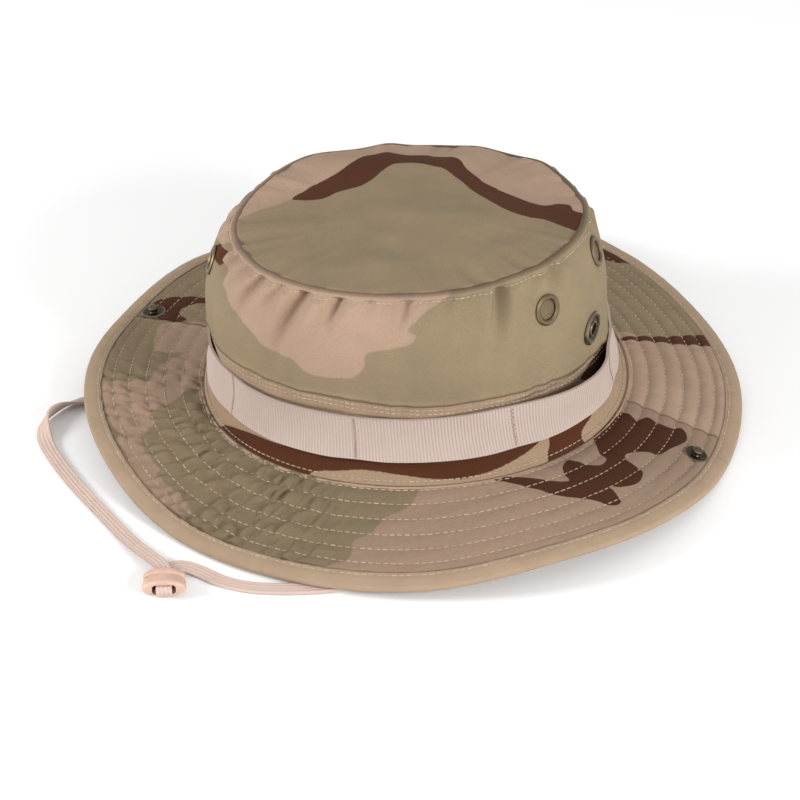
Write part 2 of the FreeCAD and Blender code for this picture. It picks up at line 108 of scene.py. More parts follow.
BAND_BROWN = [
    [(228, -0.05), (229, 0.02), (232, 0.05), (236, 0.075), (244, 0.10), (254, 0.105), (262, 0.13), (275, 0.18),
     (300, 0.20), (320, 0.20), (332, 0.14), (327, 0.09), (320, 0.06), (312, 0.035), (304, 0.025), (296, 0.035),
     (288, 0.055), (279, 0.065), (271, 0.045), (264, 0.02), (261, -0.05)],
    [(333, 0.20), (350, 0.20), (350, 0.12), (349, 0.09), (344, 0.06), (342, 0.03), (340, -0.05), (327, -0.05),
     (329, 0.03), (331, 0.07), (332, 0.12)],
    [(349, 0.29), (358, 0.34), (367, 0.42), (373, 0.32), (366, 0.22), (356, 0.24)],
    [(50, 0.12), (75, 0.20), (100, 0.14), (130, 0.18), (150, 0.10), (120, 0.05), (90, 0.07), (65, 0.04)],
]
TOP_BROWN = [
    [(-55, 0), (-51, 12), (-45, 23), (-42, 35), (-40, 45), (-33, 52), (-22, 55), (-11, 58), (1, 55), (7, 49),
     (13, 44), (21, 36), (36, 29), (51, 25), (57, 29), (63, 27), (67, 22), (80, 20), (80, 6), (68, 7), (57, 11),
     (50, 10), (41, 12), (28, 20), (18, 28), (8, 37), (-3, 45), (-16, 46), (-24, 42), (-27, 35), (-28, 27),
     (-31, 18), (-38, 9), (-43, 3)],
]
TOP_PINK = [
    [(-85, -45), (-71, -24), (-64, -12), (-55, 0), (-45, 20), (-41, 40), (-33, 50), (-11, 55), (7, 48),
     (21, 35), (40, 27), (66, 22), (85, 18), (85, 85), (-85, 85)],
]
BRIM_PINK = [
    [(300, -4), (290, 12), (285, 18), (283, 26), (280, 30), (280, 39), (276, 46), (276, 57), (335, 57),
     (394, 57), (394, 26), (395, -4), (345, -4)],
    [(181, -4), (181, 28), (187, 29), (192, 26), (193, 20), (193, 12), (198, 20), (205, 26), (206, 44),
     (212, 45), (222, 42), (221, 30), (217, 25), (213, 14), (209, 7), (212, 2), (213, -4)],
    [(223, 43), (219, 30), (221, 26), (225, 34), (229, 36), (234, 35), (236, 38), (241, 37), (247, 40),
     (245, 46), (233, 46)],
    [(70, -4), (78, 14), (92, 20), (100, 38), (112, 57), (140, 57), (133, 30), (138, 12), (130, -4)],
]
BRIM_BROWN = [
    [(358, -1), (360, 5), (359.5, 10), (362, 14), (362, 23), (363.5, 29), (361, 33), (355, 29), (352, 27),
     (350, 22), (348, 18), (345.5, 17), (344, 20), (344, 27), (342, 30.5), (339, 31.5), (336, 29),
     (334.5, 25.5), (334, 29), (333, 35.5), (331, 36), (329, 31), (327, 26), (324, 22), (320, 14), (316, 7),
     (311.5, 1.5), (316, 2), (322, 8), (326, 13.5), (328, 14.5), (328.5, 10), (330, 6), (332.5, 4.5),
     (334, 7), (336, 12), (338, 14.5), (340.5, 13.5), (341, 9), (343, 4.5), (345, 1), (350, -1)],
    [(395, -3), (396, 5), (396.5, 12), (397, 28), (398, 44), (396, 54), (394, 52), (394, 38), (394, 26),
     (394.3, 12), (394, -3)],
    [(176, 43), (174, 42.5), (172.5, 40), (170.5, 32), (169, 20), (168.5, 6), (170, 6), (171, 18),
     (172.5, 24), (174.5, 27.5), (177, 26.5), (178.5, 21), (180, 23), (180, 32), (179, 38)],
    [(62, 57), (66, 40), (74, 30), (88, 34), (97, 24), (110, 22), (118, 30), (108, 36), (98, 44), (84, 46),
     (76, 57)],
    [(140, -4), (146, 10), (156, 14), (160, 24), (152, 30), (144, 24), (134, 12), (130, -4)],
]
UNDERSIDE_TURN = 137.0

# Folds in the wall where it is eased into the top seam: angle, width in degrees, depth in mm, reach down in level
SEAM_OVERLAP = 0.018
WALL_FOLDS = [(214, 2.4, 1.3, 0.10), (223, 2.2, 1.6, 0.15), (232, 2.6, 1.3, 0.11), (240, 2.2, 2.0, 0.17),
              (249, 2.0, 1.2, 0.09), (258, 2.6, 2.6, 0.27), (270, 2.2, 2.3, 0.15), (280, 1.8, 1.0, 0.07),
              (291, 2.0, 1.7, 0.12), (304, 1.8, 0.9, 0.07), (320, 2.2, 2.7, 0.20), (332, 1.8, 0.8, 0.08),
              (341, 2.4, 1.9, 0.16), (12, 2.2, 1.4, 0.12), (31, 2.4, 2.0, 0.16), (48, 2.0, 1.2, 0.10),
              (63, 2.6, 2.2, 0.22), (81, 2.0, 1.5, 0.12), (99, 2.4, 2.1, 0.18), (117, 2.0, 1.3, 0.10),
              (131, 2.6, 2.4, 0.20), (150, 2.2, 1.6, 0.14), (166, 2.4, 1.9, 0.17), (189, 2.2, 1.5, 0.12),
              (201, 2.0, 1.2, 0.10)]


# ---------------------------------------------------------------- shape of the hat

def mix(low, high, share):
    return low + (high - low) * share


def cosine(degrees):
    return np.cos(np.radians(degrees))


def sine(degrees):
    return np.sin(np.radians(degrees))


def bell(degrees, width):
    return np.exp(-(((np.asarray(degrees) + 180.0) % 360.0 - 180.0) / width) ** 2)


def smooth(low, high, value):
    t = np.clip((value - low) / (high - low), 0.0, 1.0)
    return t * t * (3.0 - 2.0 * t)


def noise(u, v, seed, period=997):
    """Smooth noise from -1 to 1 with one cell per unit; u repeats after period cells."""
    table = np.random.default_rng(seed).uniform(-1.0, 1.0, (997, 61))
    i, j = np.floor(u).astype(int), np.floor(v).astype(int)
    s, t = u - i, v - j
    s, t = s * s * (3 - 2 * s), t * t * (3 - 2 * t)

    def cell(di, dj):
        return table[(i + di) % period, (j + dj) % 61]
    return mix(mix(cell(0, 0), cell(1, 0), s), mix(cell(0, 1), cell(1, 1), s), t)


def edge_height(theta):
    place = (theta % 360.0) / 360.0 * len(EDGE_HEIGHTS)
    index = np.floor(place).astype(int)
    t = place - index
    a, b, c, d = [EDGE_HEIGHTS[(index + k) % len(EDGE_HEIGHTS)] for k in (-1, 0, 1, 2)]
    return b + 0.5 * t * (c - a + t * (2 * a - 5 * b + 4 * c - d + t * (3 * (b - c) + d - a)))


def headline_height(theta):
    tilt = HEADLINE_TILT * cosine(theta - HEADLINE_TILT_TOWARDS)
    return HEADLINE_HEIGHT + tilt - HEADLINE_SADDLE * cosine(2 * (theta - HEADLINE_SADDLE_LOW))


def top_height(theta):
    return TOP_HEIGHT + TOP_TILT * cosine(theta - TOP_TILT_TOWARDS)


def band_top(theta):
    return BAND_DEPTH + BAND_DEPTH_SWING * cosine(theta - BAND_DEEPEST)


def seam_lumps(theta):
    """How far the top seam rises and dips where the crown's cloth is gathered into it."""
    rear = 4.2 * bell(theta - 152.0, 20.0) + 1.6 * bell(theta - 119.0, 6.0) + 1.3 * bell(theta - 88.0, 7.0)
    sides = 1.8 * bell(theta - 60.0, 8.0) - 1.0 * bell(theta - 36.0, 9.0) + 0.8 * bell(theta - 208.0, 7.0)
    return rear + sides + 0.45 * noise(theta % 360 / 11.25, 0.0 * theta, 16, 32)


def wall_point(theta, level, offset):
    waist = WALL_WAIST * 4.0 * level * (1.0 - level)
    fullness = WALL_FULLNESS * 6.75 * level * level * (1.0 - level)
    radius = mix(HEADLINE_RADIUS, TOP_RADIUS, level) - waist + fullness + offset
    x = TOP_CENTRE[0] * level + WALL_LEAN * 4.0 * level * (1.0 - level) + radius * cosine(theta)
    y = TOP_CENTRE[1] * level + radius * sine(theta)
    z = mix(headline_height(theta), top_height(theta), level) + seam_lumps(theta) * smooth(0.55, 1.0, level)
    return np.stack([x, y, z], -1) + HAT_CENTRE


def brim_point(theta, reach, offset):
    drop = headline_height(theta) - edge_height(theta)
    run = np.sqrt(BRIM_WIDTH ** 2 - drop ** 2)
    radius = HEADLINE_RADIUS + run * reach / BRIM_WIDTH
    z = headline_height(theta) - drop * reach / BRIM_WIDTH + offset
    return np.stack([radius * cosine(theta), radius * sine(theta), z], -1) + HAT_CENTRE


def webbing_point(theta, height, offset):
    loose = bell(theta - WEBBING_LOOSE_AT, WEBBING_LOOSE_WIDTH)
    level = (WEBBING_HEIGHT + WEBBING_RISE * loose + height) / (top_height(theta) - headline_height(theta))
    gape = WEBBING_GAPE * loose * (0.3 + 0.7 * height / WEBBING_WIDTH)
    return wall_point(theta, level, offset + gape)


def top_point(x, y, offset):
    slope = TOP_TILT * (x * cosine(TOP_TILT_TOWARDS) + y * sine(TOP_TILT_TOWARDS)) / TOP_RADIUS
    z = TOP_HEIGHT + slope + TOP_DOME * (1.0 - (x * x + y * y) / TOP_RADIUS ** 2) + offset
    z = z + seam_lumps(np.degrees(np.arctan2(y, x))) * smooth(0.45, 1.0, np.hypot(x, y) / TOP_RADIUS)
    return np.stack([x + TOP_CENTRE[0], y + TOP_CENTRE[1], z], -1) + HAT_CENTRE


# ---------------------------------------------------------------- meshes

def grid_faces(nu, nv, start=0, closed=False, flip=False):
    u = np.arange(nu if closed else nu - 1)[:, None]
    v = np.arange(nv - 1)[None, :]
    a = u * nv + v
    b = ((u + 1) % nu) * nv + v
    quads = np.stack([a, b, b + 1, a + 1], -1).reshape(-1, 4) + start
    return quads[:, ::-1] if flip else quads


def make_object(name, points, faces, material, uv=None, paint=None, sharp=50.0):
    """Object from points in millimetres, with its cloth coordinates in millimetres and painted distances."""
    mesh = bpy.data.meshes.new(name)
    mesh.from_pydata((points * MM).tolist(), [], [list(map(int, f)) for f in faces])
    if uv is not None:
        corners = np.zeros(len(mesh.loops), int)
        mesh.loops.foreach_get("vertex_index", corners)
        mesh.uv_layers.new(name="cloth").data.foreach_set("uv", uv[corners].astype(np.float32).ravel())
    for key, values in (paint or {}).items():
        mesh.attributes.new(key, "FLOAT", "POINT").data.foreach_set("value", values.astype(np.float32).ravel())
    mesh.materials.append(material)
    mesh.polygons.foreach_set("use_smooth", [True] * len(mesh.polygons))
    mesh.set_sharp_from_angle(angle=math.radians(sharp))
    mesh.update()
    made = bpy.data.objects.new(name, mesh)
    bpy.context.scene.collection.objects.link(made)
    return made


def shell(name, low, high, material, uv, paint=None, closed=False, flip=False, holes=(), capped=False):
    """Closed cloth between two skins of equal grids, low under high; holes are (centre, radius) left open.

    A capped shell's first row is closed by a face of its own on each skin."""
    nu, nv = high.shape[:2]
    count = nu * nv
    front = grid_faces(nu, nv, 0, closed, flip)
    middle = high.reshape(-1, 3)[front].mean(1)
    cut = np.zeros(len(front), bool)
    for centre, radius in holes:
        cut |= np.linalg.norm(middle - centre, axis=1) < radius
    faces = [front[~cut], front[~cut][:, ::-1] + count]
    edges = {(int(f[k]), int(f[(k + 1) % 4])) for f in front[cut] for k in range(4)}
    rims = [(a, b, b + count, a + count) for a, b in sorted(edges) if (b, a) not in edges]
    faces.append(np.array(rims, int).reshape(-1, 4))
    u = np.arange(nu if closed else nu - 1)
    ahead = (u + 1) % nu
    for row, turn in (((nv - 1, flip),) if capped else ((0, not flip), (nv - 1, flip))):
        a, b = u * nv + row, ahead * nv + row
        rim = np.stack([a, b, b + count, a + count], -1)
        faces.append(rim[:, ::-1] if not turn else rim)
    if not closed:
        v = np.arange(nv - 1)
        for column, turn in ((0, flip), (nu - 1, not flip)):
            a = column * nv + v
            rim = np.stack([a, a + 1, a + 1 + count, a + count], -1)
            faces.append(rim[:, ::-1] if not turn else rim)
    points = np.concatenate([high.reshape(-1, 3), low.reshape(-1, 3)])
    faces = np.concatenate(faces).tolist()
    if capped:
        ring = list(range(0, count, nv))
        faces += [ring[::-1] if flip else ring, [k + count for k in (ring if flip else ring[::-1])]]
    double = {key: np.concatenate([values.ravel()] * 2) for key, values in (paint or {}).items()}
    return make_object(name, points, faces, material, np.concatenate([uv.reshape(-1, 2)] * 2), double)


def threads(name, starts, ends, ups, material, radius=THREAD, arch=0.12):
    """One mesh of short rounded stitches lying from starts to ends on a surface whose normals are ups."""
    along = ends - starts
    length = np.linalg.norm(along, axis=1, keepdims=True)
    along = along / length
    side = np.cross(ups, along)
    side /= np.linalg.norm(side, axis=1, keepdims=True)
    ups = np.cross(along, side)
    middle = 0.5 * (starts + ends)
    rings = [(-0.5, 0.45, -0.10), (-0.42, 0.9, 0.0), (-0.15, 1.0, 1.0), (0.15, 1.0, 1.0), (0.42, 0.9, 0.0),
             (0.5, 0.45, -0.10)]
    sides = 6
    points = []
    for place, fat, lift in rings:
        for k in range(sides):
            turn = 2 * math.pi * k / sides
            points.append(middle + along * length * place + side * (radius * fat * math.cos(turn))
                          + ups * (radius * fat * 0.8 * math.sin(turn) + arch * lift))
    points = np.stack(points, 1)
    each = len(rings) * sides
    tube = grid_faces(len(rings), sides)
    wrap = [[r * sides + sides - 1, (r + 1) * sides + sides - 1, (r + 1) * sides, r * sides]
            for r in range(len(rings) - 1)]
    tube = np.concatenate([tube, np.array(wrap)])[:, ::-1]
    quads = (tube[None] + each * np.arange(len(starts))[:, None, None]).reshape(-1, 4)
    uv = np.stack([np.repeat([r[0] * STITCH for r in rings], sides), np.tile(np.arange(sides), len(rings))], -1)
    return make_object(name, points.reshape(-1, 3), quads, material, np.tile(uv, (len(starts), 1)))


def stitch_row(place, start, end, radius, stitch=STITCH, gap=GAP):
    """Starts, ends and normals of stitches along a ring line: place(theta, aside) gives its points."""
    count = max(1, int(round(math.radians(end - start) * radius / (stitch + gap))))
    step = (end - start) / count
    first = start + step * np.arange(count) + 0.5 * step * gap / (stitch + gap)
    last = first + step * stitch / (stitch + gap)
    middle = 0.5 * (first + last)
    ahead = place(middle + 0.05, 0.0) - place(middle - 0.05, 0.0)
    aside = place(middle, 0.1) - place(middle, -0.1)
    normal = np.cross(ahead, aside)
    return place(first, 0.0), place(last, 0.0), normal / np.linalg.norm(normal, axis=1, keepdims=True)


def joined_rows(rows):
    return [np.concatenate(group) for group in zip(*rows)]


# ---------------------------------------------------------------- printed pattern

def rounded_outline(points, steps=5):
    """Closed outline through the points, its corners rounded off."""
    p = np.array(points, float)
    a, b, c, d = [np.roll(p, k, axis=0) for k in (1, 0, -1, -2)]
    t = (np.arange(steps) / steps)[None, :, None]
    a, b, c, d = [x[:, None] for x in (a, b, c, d)]
    curve = b + 0.5 * t * (c - a + t * (2 * a - 5 * b + 4 * c - d + t * (3 * (b - c) + d - a)))
    return curve.reshape(-1, 2)


def distance(points, outline):
    """Distance in mm of plane points from a closed outline, less than zero inside it."""
    flat = points.reshape(-1, 2)
    near = np.full(len(flat), 4.0)
    inside = np.zeros(len(flat), bool)
    low, high = outline.min(0) - 4.0, outline.max(0) + 4.0
    use = np.flatnonzero(((flat > low) & (flat < high)).all(1))
    p = flat[use]
    best, within = np.full(len(p), 16.0), np.zeros(len(p), bool)
    for a, b in zip(outline, np.roll(outline, -1, axis=0)):
        d = b - a
        t = np.clip(((p - a) @ d) / max(d @ d, 1e-9), 0, 1)
        away = p - a - t[:, None] * d
        best = np.minimum(best, (away ** 2).sum(1))
        if a[1] != b[1]:
            crosses = (a[1] > p[:, 1]) != (b[1] > p[:, 1])
            within ^= crosses & (p[:, 0] < a[0] + (p[:, 1] - a[1]) * d[0] / d[1])
    near[use] = np.sqrt(best)
    inside[use] = within
    return np.where(inside, -near, near).reshape(points.shape[:-1])


def printed(points, outlines, to_plane):
    """Distance in mm from the nearest of several printed shapes."""
    return np.min([distance(points, to_plane(rounded_outline(o))) for o in outlines], axis=0)


def wall_plane(outline):
    return outline * np.array([math.radians(1.0) * 86.0, 77.0])


def brim_plane(outline):
    radius = HEADLINE_RADIUS + outline[:, 1]
    return np.stack([radius * cosine(outline[:, 0]), radius * sine(outline[:, 0])], -1)


def wall_paint(theta, level, browns, pinks):
    paint = {}
    for key, outlines in (("brown", browns), ("pink", pinks)):
        found = [printed(wall_plane(np.stack([theta % 360.0 + turn, level], -1)), outlines, wall_plane)
                 for turn in (0.0, 360.0)]
        paint[key] = np.minimum(*found)
    return paint


def brim_paint(theta, reach, turn=0.0):
    points = brim_plane(np.stack([(theta + turn).ravel(), reach.ravel()], -1)).reshape(theta.shape + (2,))
    return {"brown": printed(points, BRIM_BROWN, brim_plane), "pink": printed(points, BRIM_PINK, brim_plane)}


# ---------------------------------------------------------------- materials

def linear(red, green, blue):
    return [((c / 255 + 0.055) / 1.055) ** 2.4 if c > 10 else c / 255 / 12.92 for c in (red, green, blue)] + [1.0]


GREEN = linear(142, 126, 100)
PINK = linear(170, 144, 124)
TAN = linear(160, 136, 112)
BROWN = linear(74, 33, 12)


class Nodes:
    """A material's nodes, made and linked by short calls."""

    def __init__(self, name, colour, roughness, metallic=0.0):
        self.material = bpy.data.materials.new(name)
        self.material.use_nodes = True
        self.tree = self.material.node_tree
        self.shader = self.tree.nodes["Principled BSDF"]
        self.shader.inputs["Base Color"].default_value = colour
        self.shader.inputs["Roughness"].default_value = roughness
        self.shader.inputs["Metallic"].default_value = metallic

    def node(self, kind, **values):
        made = self.tree.nodes.new("ShaderNode" + kind)
        for key, value in values.items():
            setattr(made, key, value)
        return made

    def link(self, source, target):
        self.tree.links.new(source, target)

    def math(self, operation, a, b=None, c=None, clamp=False):
        made = self.node("Math", operation=operation, use_clamp=clamp)
        for socket, value in zip(made.inputs, (a, b, c)):
            if isinstance(value, (int, float)):
                socket.default_value = value
            elif value is not None:
                self.link(value, socket)
        return made.outputs[0]

    def cloth(self):
        return self.node("UVMap", uv_map="cloth").outputs[0]

    def place(self):
        return self.node("TexCoord").outputs["Object"]

    def noise(self, vector, scale, detail=2.0, roughness=0.5):
        made = self.node("TexNoise")
        self.link(vector, made.inputs["Vector"])
        made.inputs["Scale"].default_value = scale
        made.inputs["Detail"].default_value = detail
        made.inputs["Roughness"].default_value = roughness
        return made.outputs["Fac"]

    def attribute(self, name):
        return self.node("Attribute", attribute_name=name).outputs["Fac"]

    def step(self, value, low, high):
        """0 below low, 1 above high, with a straight ramp between them."""
        made = self.node("MapRange")
        self.link(value, made.inputs["Value"])
        made.inputs["From Min"].default_value = low
        made.inputs["From Max"].default_value = high
        return made.outputs[0]

    def mixed(self, factor, low, high, blend="MIX"):
        made = self.node("Mix", data_type="RGBA", blend_type=blend)
        self.link(factor, made.inputs["Factor"])
        for socket, value in ((made.inputs[6], low), (made.inputs[7], high)):
            if isinstance(value, list):
                socket.default_value = value
            else:
                self.link(value, socket)
        return made.outputs[2]

    def colour(self, value):
        self.link(value, self.shader.inputs["Base Color"])

    def bump(self, height, distance, strength=1.0):
        made = self.node("Bump")
        made.inputs["Distance"].default_value = distance
        made.inputs["Strength"].default_value = strength
        self.link(height, made.inputs["Height"])
        self.link(made.outputs[0], self.shader.inputs["Normal"])

    def stripes(self, across, along, pitch):
        """Height of parallel ridges in the cloth plane; across and along weigh its two directions."""
        split = self.node("SeparateXYZ")
        self.link(self.cloth(), split.inputs[0])
        u = self.math("MULTIPLY", split.outputs[0], across)
        place = self.math("MULTIPLY_ADD", split.outputs[1], along, u)
        return self.math("SINE", self.math("MULTIPLY", place, 2 * math.pi / pitch))


def twill_cloth(name, ground, pink=PINK, printed_cloth=True, crease_shade_strength=0.75):
    """Matt cotton twill, printed, with slubs, slight fading and a fine diagonal weave, with painted shade darkening it
    near creases and seams.
    """
    n = Nodes(name, ground, 0.92)
    n.shader.inputs["Sheen Weight"].default_value = 0.02
    n.shader.inputs["Sheen Roughness"].default_value = 0.5
    n.shader.inputs["Specular IOR Level"].default_value = 0.12
    cloth = n.cloth()
    colour = ground
    if printed_cloth:
        wander = n.math("MULTIPLY_ADD", n.noise(cloth, 0.22, 3.0), 1.6, -0.8)
        soft = n.math("ADD", n.attribute("pink"), wander)
        colour = n.mixed(n.step(soft, 0.5, -0.5), ground, pink)
        ragged = n.math("MULTIPLY_ADD", n.noise(cloth, 0.9, 2.0), 0.7, -0.35)
        crisp = n.math("ADD", n.attribute("brown"), ragged)
        colour = n.mixed(n.step(crisp, 0.16, -0.16), colour, BROWN)
    fade = n.step(n.noise(cloth, 0.035, 3.0, 0.6), 0.3, 0.7)
    shade = n.mixed(fade, linear(236, 236, 236), linear(255, 253, 250))
    toned = n.node("Mix", data_type="RGBA", blend_type="MULTIPLY")
    toned.inputs["Factor"].default_value = 1.0
    n.link(shade, toned.inputs[7])
    if isinstance(colour, list):
        toned.inputs[6].default_value = colour
    else:
        n.link(colour, toned.inputs[6])
    slub = n.step(n.noise(cloth, 2.6, 3.0, 0.7), 0.35, 0.7)
    worn = n.mixed(n.math("MULTIPLY", slub, 0.05), toned.outputs[2], linear(196, 172, 144))
    grain = n.step(n.noise(cloth, 1.3, 4.0, 0.8), 0.42, 0.60)
    worn = n.mixed(n.math("MULTIPLY", grain, 0.16), worn, linear(70, 58, 44))
    # Painted shade: the cloth turns dark brown where the crease attribute is small, near creases and seams.
    crease = n.attribute("crease")
    shadow = n.math("MULTIPLY", n.step(crease, 1.0, 0.1), crease_shade_strength)
    n.colour(n.mixed(shadow, worn, linear(58, 42, 30)))
    weave = n.stripes(1.0, 0.7, 0.62)
    threads_up = n.math("MULTIPLY_ADD", n.stripes(1.0, 0.0, 0.36), 0.5, weave)
    uneven = n.math("MULTIPLY_ADD", n.noise(cloth, 1.4, 3.0, 0.6), 2.2, threads_up)
    n.bump(uneven, 0.00006, 0.8)
    return n.material


def tape_cloth(name, colour, across, along, pitch, groove_shade=0.2, blotch=0.1, ribs=0.00006):
    """Plain woven tape with fine ribs, with painted shade darkening the grooves between them."""
    n = Nodes(name, colour, 0.88)
    n.shader.inputs["Sheen Weight"].default_value = 0.02
    n.shader.inputs["Specular IOR Level"].default_value = 0.15
    cloth = n.cloth()
    darker = [(1.0 - blotch) * c for c in colour[:3]] + [1.0]
    shade = n.mixed(n.step(n.noise(cloth, 0.08, 2.0, 0.6), 0.35, 0.65), darker, colour)
    fibre = n.step(n.noise(cloth, 2.2, 3.0, 0.7), 0.35, 0.65)
    lighter = [min(1.0, 1.12 * c) for c in colour[:3]] + [1.0]
    shade = n.mixed(n.math("MULTIPLY", fibre, 0.4), shade, lighter)
    rows = n.stripes(across, along, pitch)
    # Painted shade in the grooves between the ribs.
    low = n.math("MULTIPLY", n.step(rows, -0.1, -0.95), groove_shade)
    n.colour(n.mixed(low, shade, [0.30 * c for c in colour[:3]] + [1.0]))
    n.bump(n.math("MULTIPLY_ADD", n.noise(cloth, 2.0, 2.0), 0.8, rows), ribs, 0.8)
    return n.material


def thread_material(name, colour):
    n = Nodes(name, colour, 0.7)
    n.shader.inputs["Sheen Weight"].default_value = 0.25
    n.shader.inputs["Specular IOR Level"].default_value = 0.4
    place = n.place()
    darker = [0.62 * c for c in colour[:3]] + [1.0]
    n.colour(n.mixed(n.step(n.noise(place, 260.0, 2.0), 0.35, 0.65), darker, colour))
    n.bump(n.stripes(1.0, 0.35, 0.5), 0.00004, 0.8)
    return n.material


def aged_metal(name, colour, dark, roughness, worn=0.5):
    """Antique finish: dark in the hollows, worn bright on high places."""
    n = Nodes(name, colour, roughness, 1.0)
    place = n.place()
    patches = n.step(n.noise(place, 900.0, 4.0, 0.65), 0.5 - 0.4 * worn, 0.9 - 0.4 * worn)
    edges = n.node("NewGeometry").outputs["Pointiness"]
    bare = n.math("ADD", n.step(edges, 0.50, 0.56), n.math("MULTIPLY", patches, 0.55), clamp=True)
    n.colour(n.mixed(bare, dark, colour))
    rough = n.math("MULTIPLY_ADD", n.noise(place, 1500.0, 3.0), 0.25, roughness - 0.12)
    n.link(rough, n.shader.inputs["Roughness"])
    n.bump(n.noise(place, 2200.0, 3.0), 0.00003, 0.5)
    return n.material


def moulded_plastic(name, colour):
    n = Nodes(name, colour, 0.42)
    n.shader.inputs["Subsurface Weight"].default_value = 0.08
    n.shader.inputs["Subsurface Radius"].default_value = (0.002, 0.001, 0.0007)
    place = n.place()
    darker = [0.82 * c for c in colour[:3]] + [1.0]
    n.colour(n.mixed(n.step(n.noise(place, 220.0, 3.0), 0.3, 0.7), darker, colour))
    rough = n.math("MULTIPLY_ADD", n.noise(place, 700.0, 3.0), 0.22, 0.32)
    n.link(rough, n.shader.inputs["Roughness"])
    n.bump(n.noise(place, 1800.0, 2.0), 0.00002, 0.4)
    return n.material


def make_materials():
    return {
        "crown": twill_cloth("crown_twill", GREEN),
        "band": twill_cloth("band_twill", TAN),
        # The brim's painted shade at creases and seams is weaker than the crown's; the lining has none.
        "brim": twill_cloth("brim_twill", GREEN, crease_shade_strength=0.65),
        "lining": twill_cloth("lining_twill", TAN, printed_cloth=False, crease_shade_strength=0.0),
        "binding": tape_cloth("binding_tape", linear(160, 138, 115), 1.0, 0.6, 0.62, 0.12, 0.10),
        "piping": tape_cloth("headline_piping", linear(168, 140, 118), 1.0, 0.6, 0.62, 0.15, 0.10),
        "webbing": tape_cloth("grosgrain", linear(178, 160, 151), 1.0, 0.0, 1.0, 0.22, 0.04, 0.00010),
        "label": tape_cloth("label_satin", linear(226, 220, 210), 1.0, 0.0, 0.4, 0.10, 0.04),
        "cord": tape_cloth("cord_braid", linear(208, 184, 172), 0.8, 1.0, 0.8, 0.22, 0.06, 0.00010),
        "thread": thread_material("stitch_thread", linear(196, 178, 152)),
        "tack": thread_material("tack_thread", linear(186, 152, 134)),
        "brass": aged_metal("vent_brass", linear(122, 106, 82), linear(50, 42, 32), 0.42, 0.35),
        "screen": aged_metal("screen_brass", linear(150, 134, 108), linear(78, 66, 50), 0.45, 0.5),
        "gunmetal": aged_metal("snap_gunmetal", linear(132, 118, 96), linear(40, 36, 32), 0.36, 0.3),
        "plastic": moulded_plastic("slider_acetal", linear(206, 172, 154)),
    }


# ---------------------------------------------------------------- crown

FITTINGS = {"vent_eyelet_left_front": 5.2, "vent_eyelet_left_rear": 5.2, "vent_eyelet_right_front": 5.2,
            "vent_eyelet_right_rear": 5.2, "snap_socket_left": 4.4, "snap_socket_right": 4.4}


def fitting_centres():
    """Middle and hole radius of each metal fitting on the crown wall."""
    found = []
    for node, radius in FITTINGS.items():
        low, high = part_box(node)
        found.append((np.array((low + high) / 2) / MM, radius))
    return found


def wall_relief(theta, level):
    """How far the wall's cloth stands out from its smooth shape: folds under the top seam and soft dents."""
    turn = theta % 360.0
    below_top = 1.0 - level
    start = smooth(0.012, 0.045, below_top)
    folds = np.zeros_like(turn + level)
    for middle, width, depth, reach in WALL_FOLDS:
        away = ((turn - middle + 180.0) % 360.0 - 180.0 + 14.0 * (below_top - 0.05)) / width
        valley = np.exp(-away ** 2) - 0.45 * np.exp(-(np.abs(away) - 1.9) ** 2)
        folds -= 2.1 * depth * valley * np.exp(-(below_top / reach) ** 2) * start
    puckers = 0.45 * noise(turn / 1.8, level * 9.0, 12, 200) * np.exp(-below_top / 0.06) * start
    dents = 1.5 * noise(turn / 30.0, level * 2.2, 13, 12) + 0.7 * noise(turn / 9.0, level * 4.0, 14, 40)
    above_band = np.abs(level - band_top(theta))
    gathers = 0.55 * noise(turn / 3.0, level * 5.0, 15, 120) * np.exp(-(above_band / 0.07) ** 2)
    calm = smooth(0.0, 0.12, below_top) * smooth(0.0, 0.10, level)
    return folds + puckers + gathers + dents * calm


def ridge(level):
    """The wall's top edge: drawn in at the stitching, a small rounded ridge above it, then turned inwards."""
    drawn = -0.55 * np.exp(-((level - 0.972) / 0.007) ** 2)
    return drawn + 0.35 * np.exp(-((level - 0.988) / 0.008) ** 2) - 1.3 * smooth(0.993, 1.002, level) ** 2


def crown_side(materials):
    """The wall's cloth, from its turned-under lower edge, which overhangs the band, to the top seam."""
    theta, share = np.meshgrid(BACK_SEAM + np.linspace(0, 360, 620, endpoint=False), np.linspace(0, 1, 80),
                               indexing="ij")
    level = mix(band_top(theta) + SEAM_OVERLAP, 1.002, share)
    relief = wall_relief(theta, level)
    roll = 0.8 * np.exp(-((level - band_top(theta) - SEAM_OVERLAP) / 0.014) ** 2)
    pinch = ridge(level)
    holes = fitting_centres()
    outer = wall_point(theta, level, 0.55)
    for centre, _ in holes:
        away = np.linalg.norm(outer - centre, axis=-1)
        relief = relief * smooth(5.0, 13.0, away)
    outer = wall_point(theta, level, 0.55 + relief + roll + pinch)
    inner = wall_point(theta, level, -0.35 + relief + 0.6 * roll + pinch)
    uv = np.stack([np.radians(theta) * 86.0, level * 77.0], -1)
    paint = wall_paint(theta, level, WALL_BROWN, WALL_PINK)
    # Painted shade along the wall's overhanging lower edge and just under the top seam.
    paint["crease"] = np.minimum((level - band_top(theta) - SEAM_OVERLAP) * 77.0, (1.001 - level) * 77.0 + 0.3)
    piece = shell("crown_side_cloth", inner, outer, materials["crown"], uv, paint, closed=True,
                  holes=[(c, r) for c, r in holes])
    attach(piece, "hat")
    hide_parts("crown_side")
    return piece


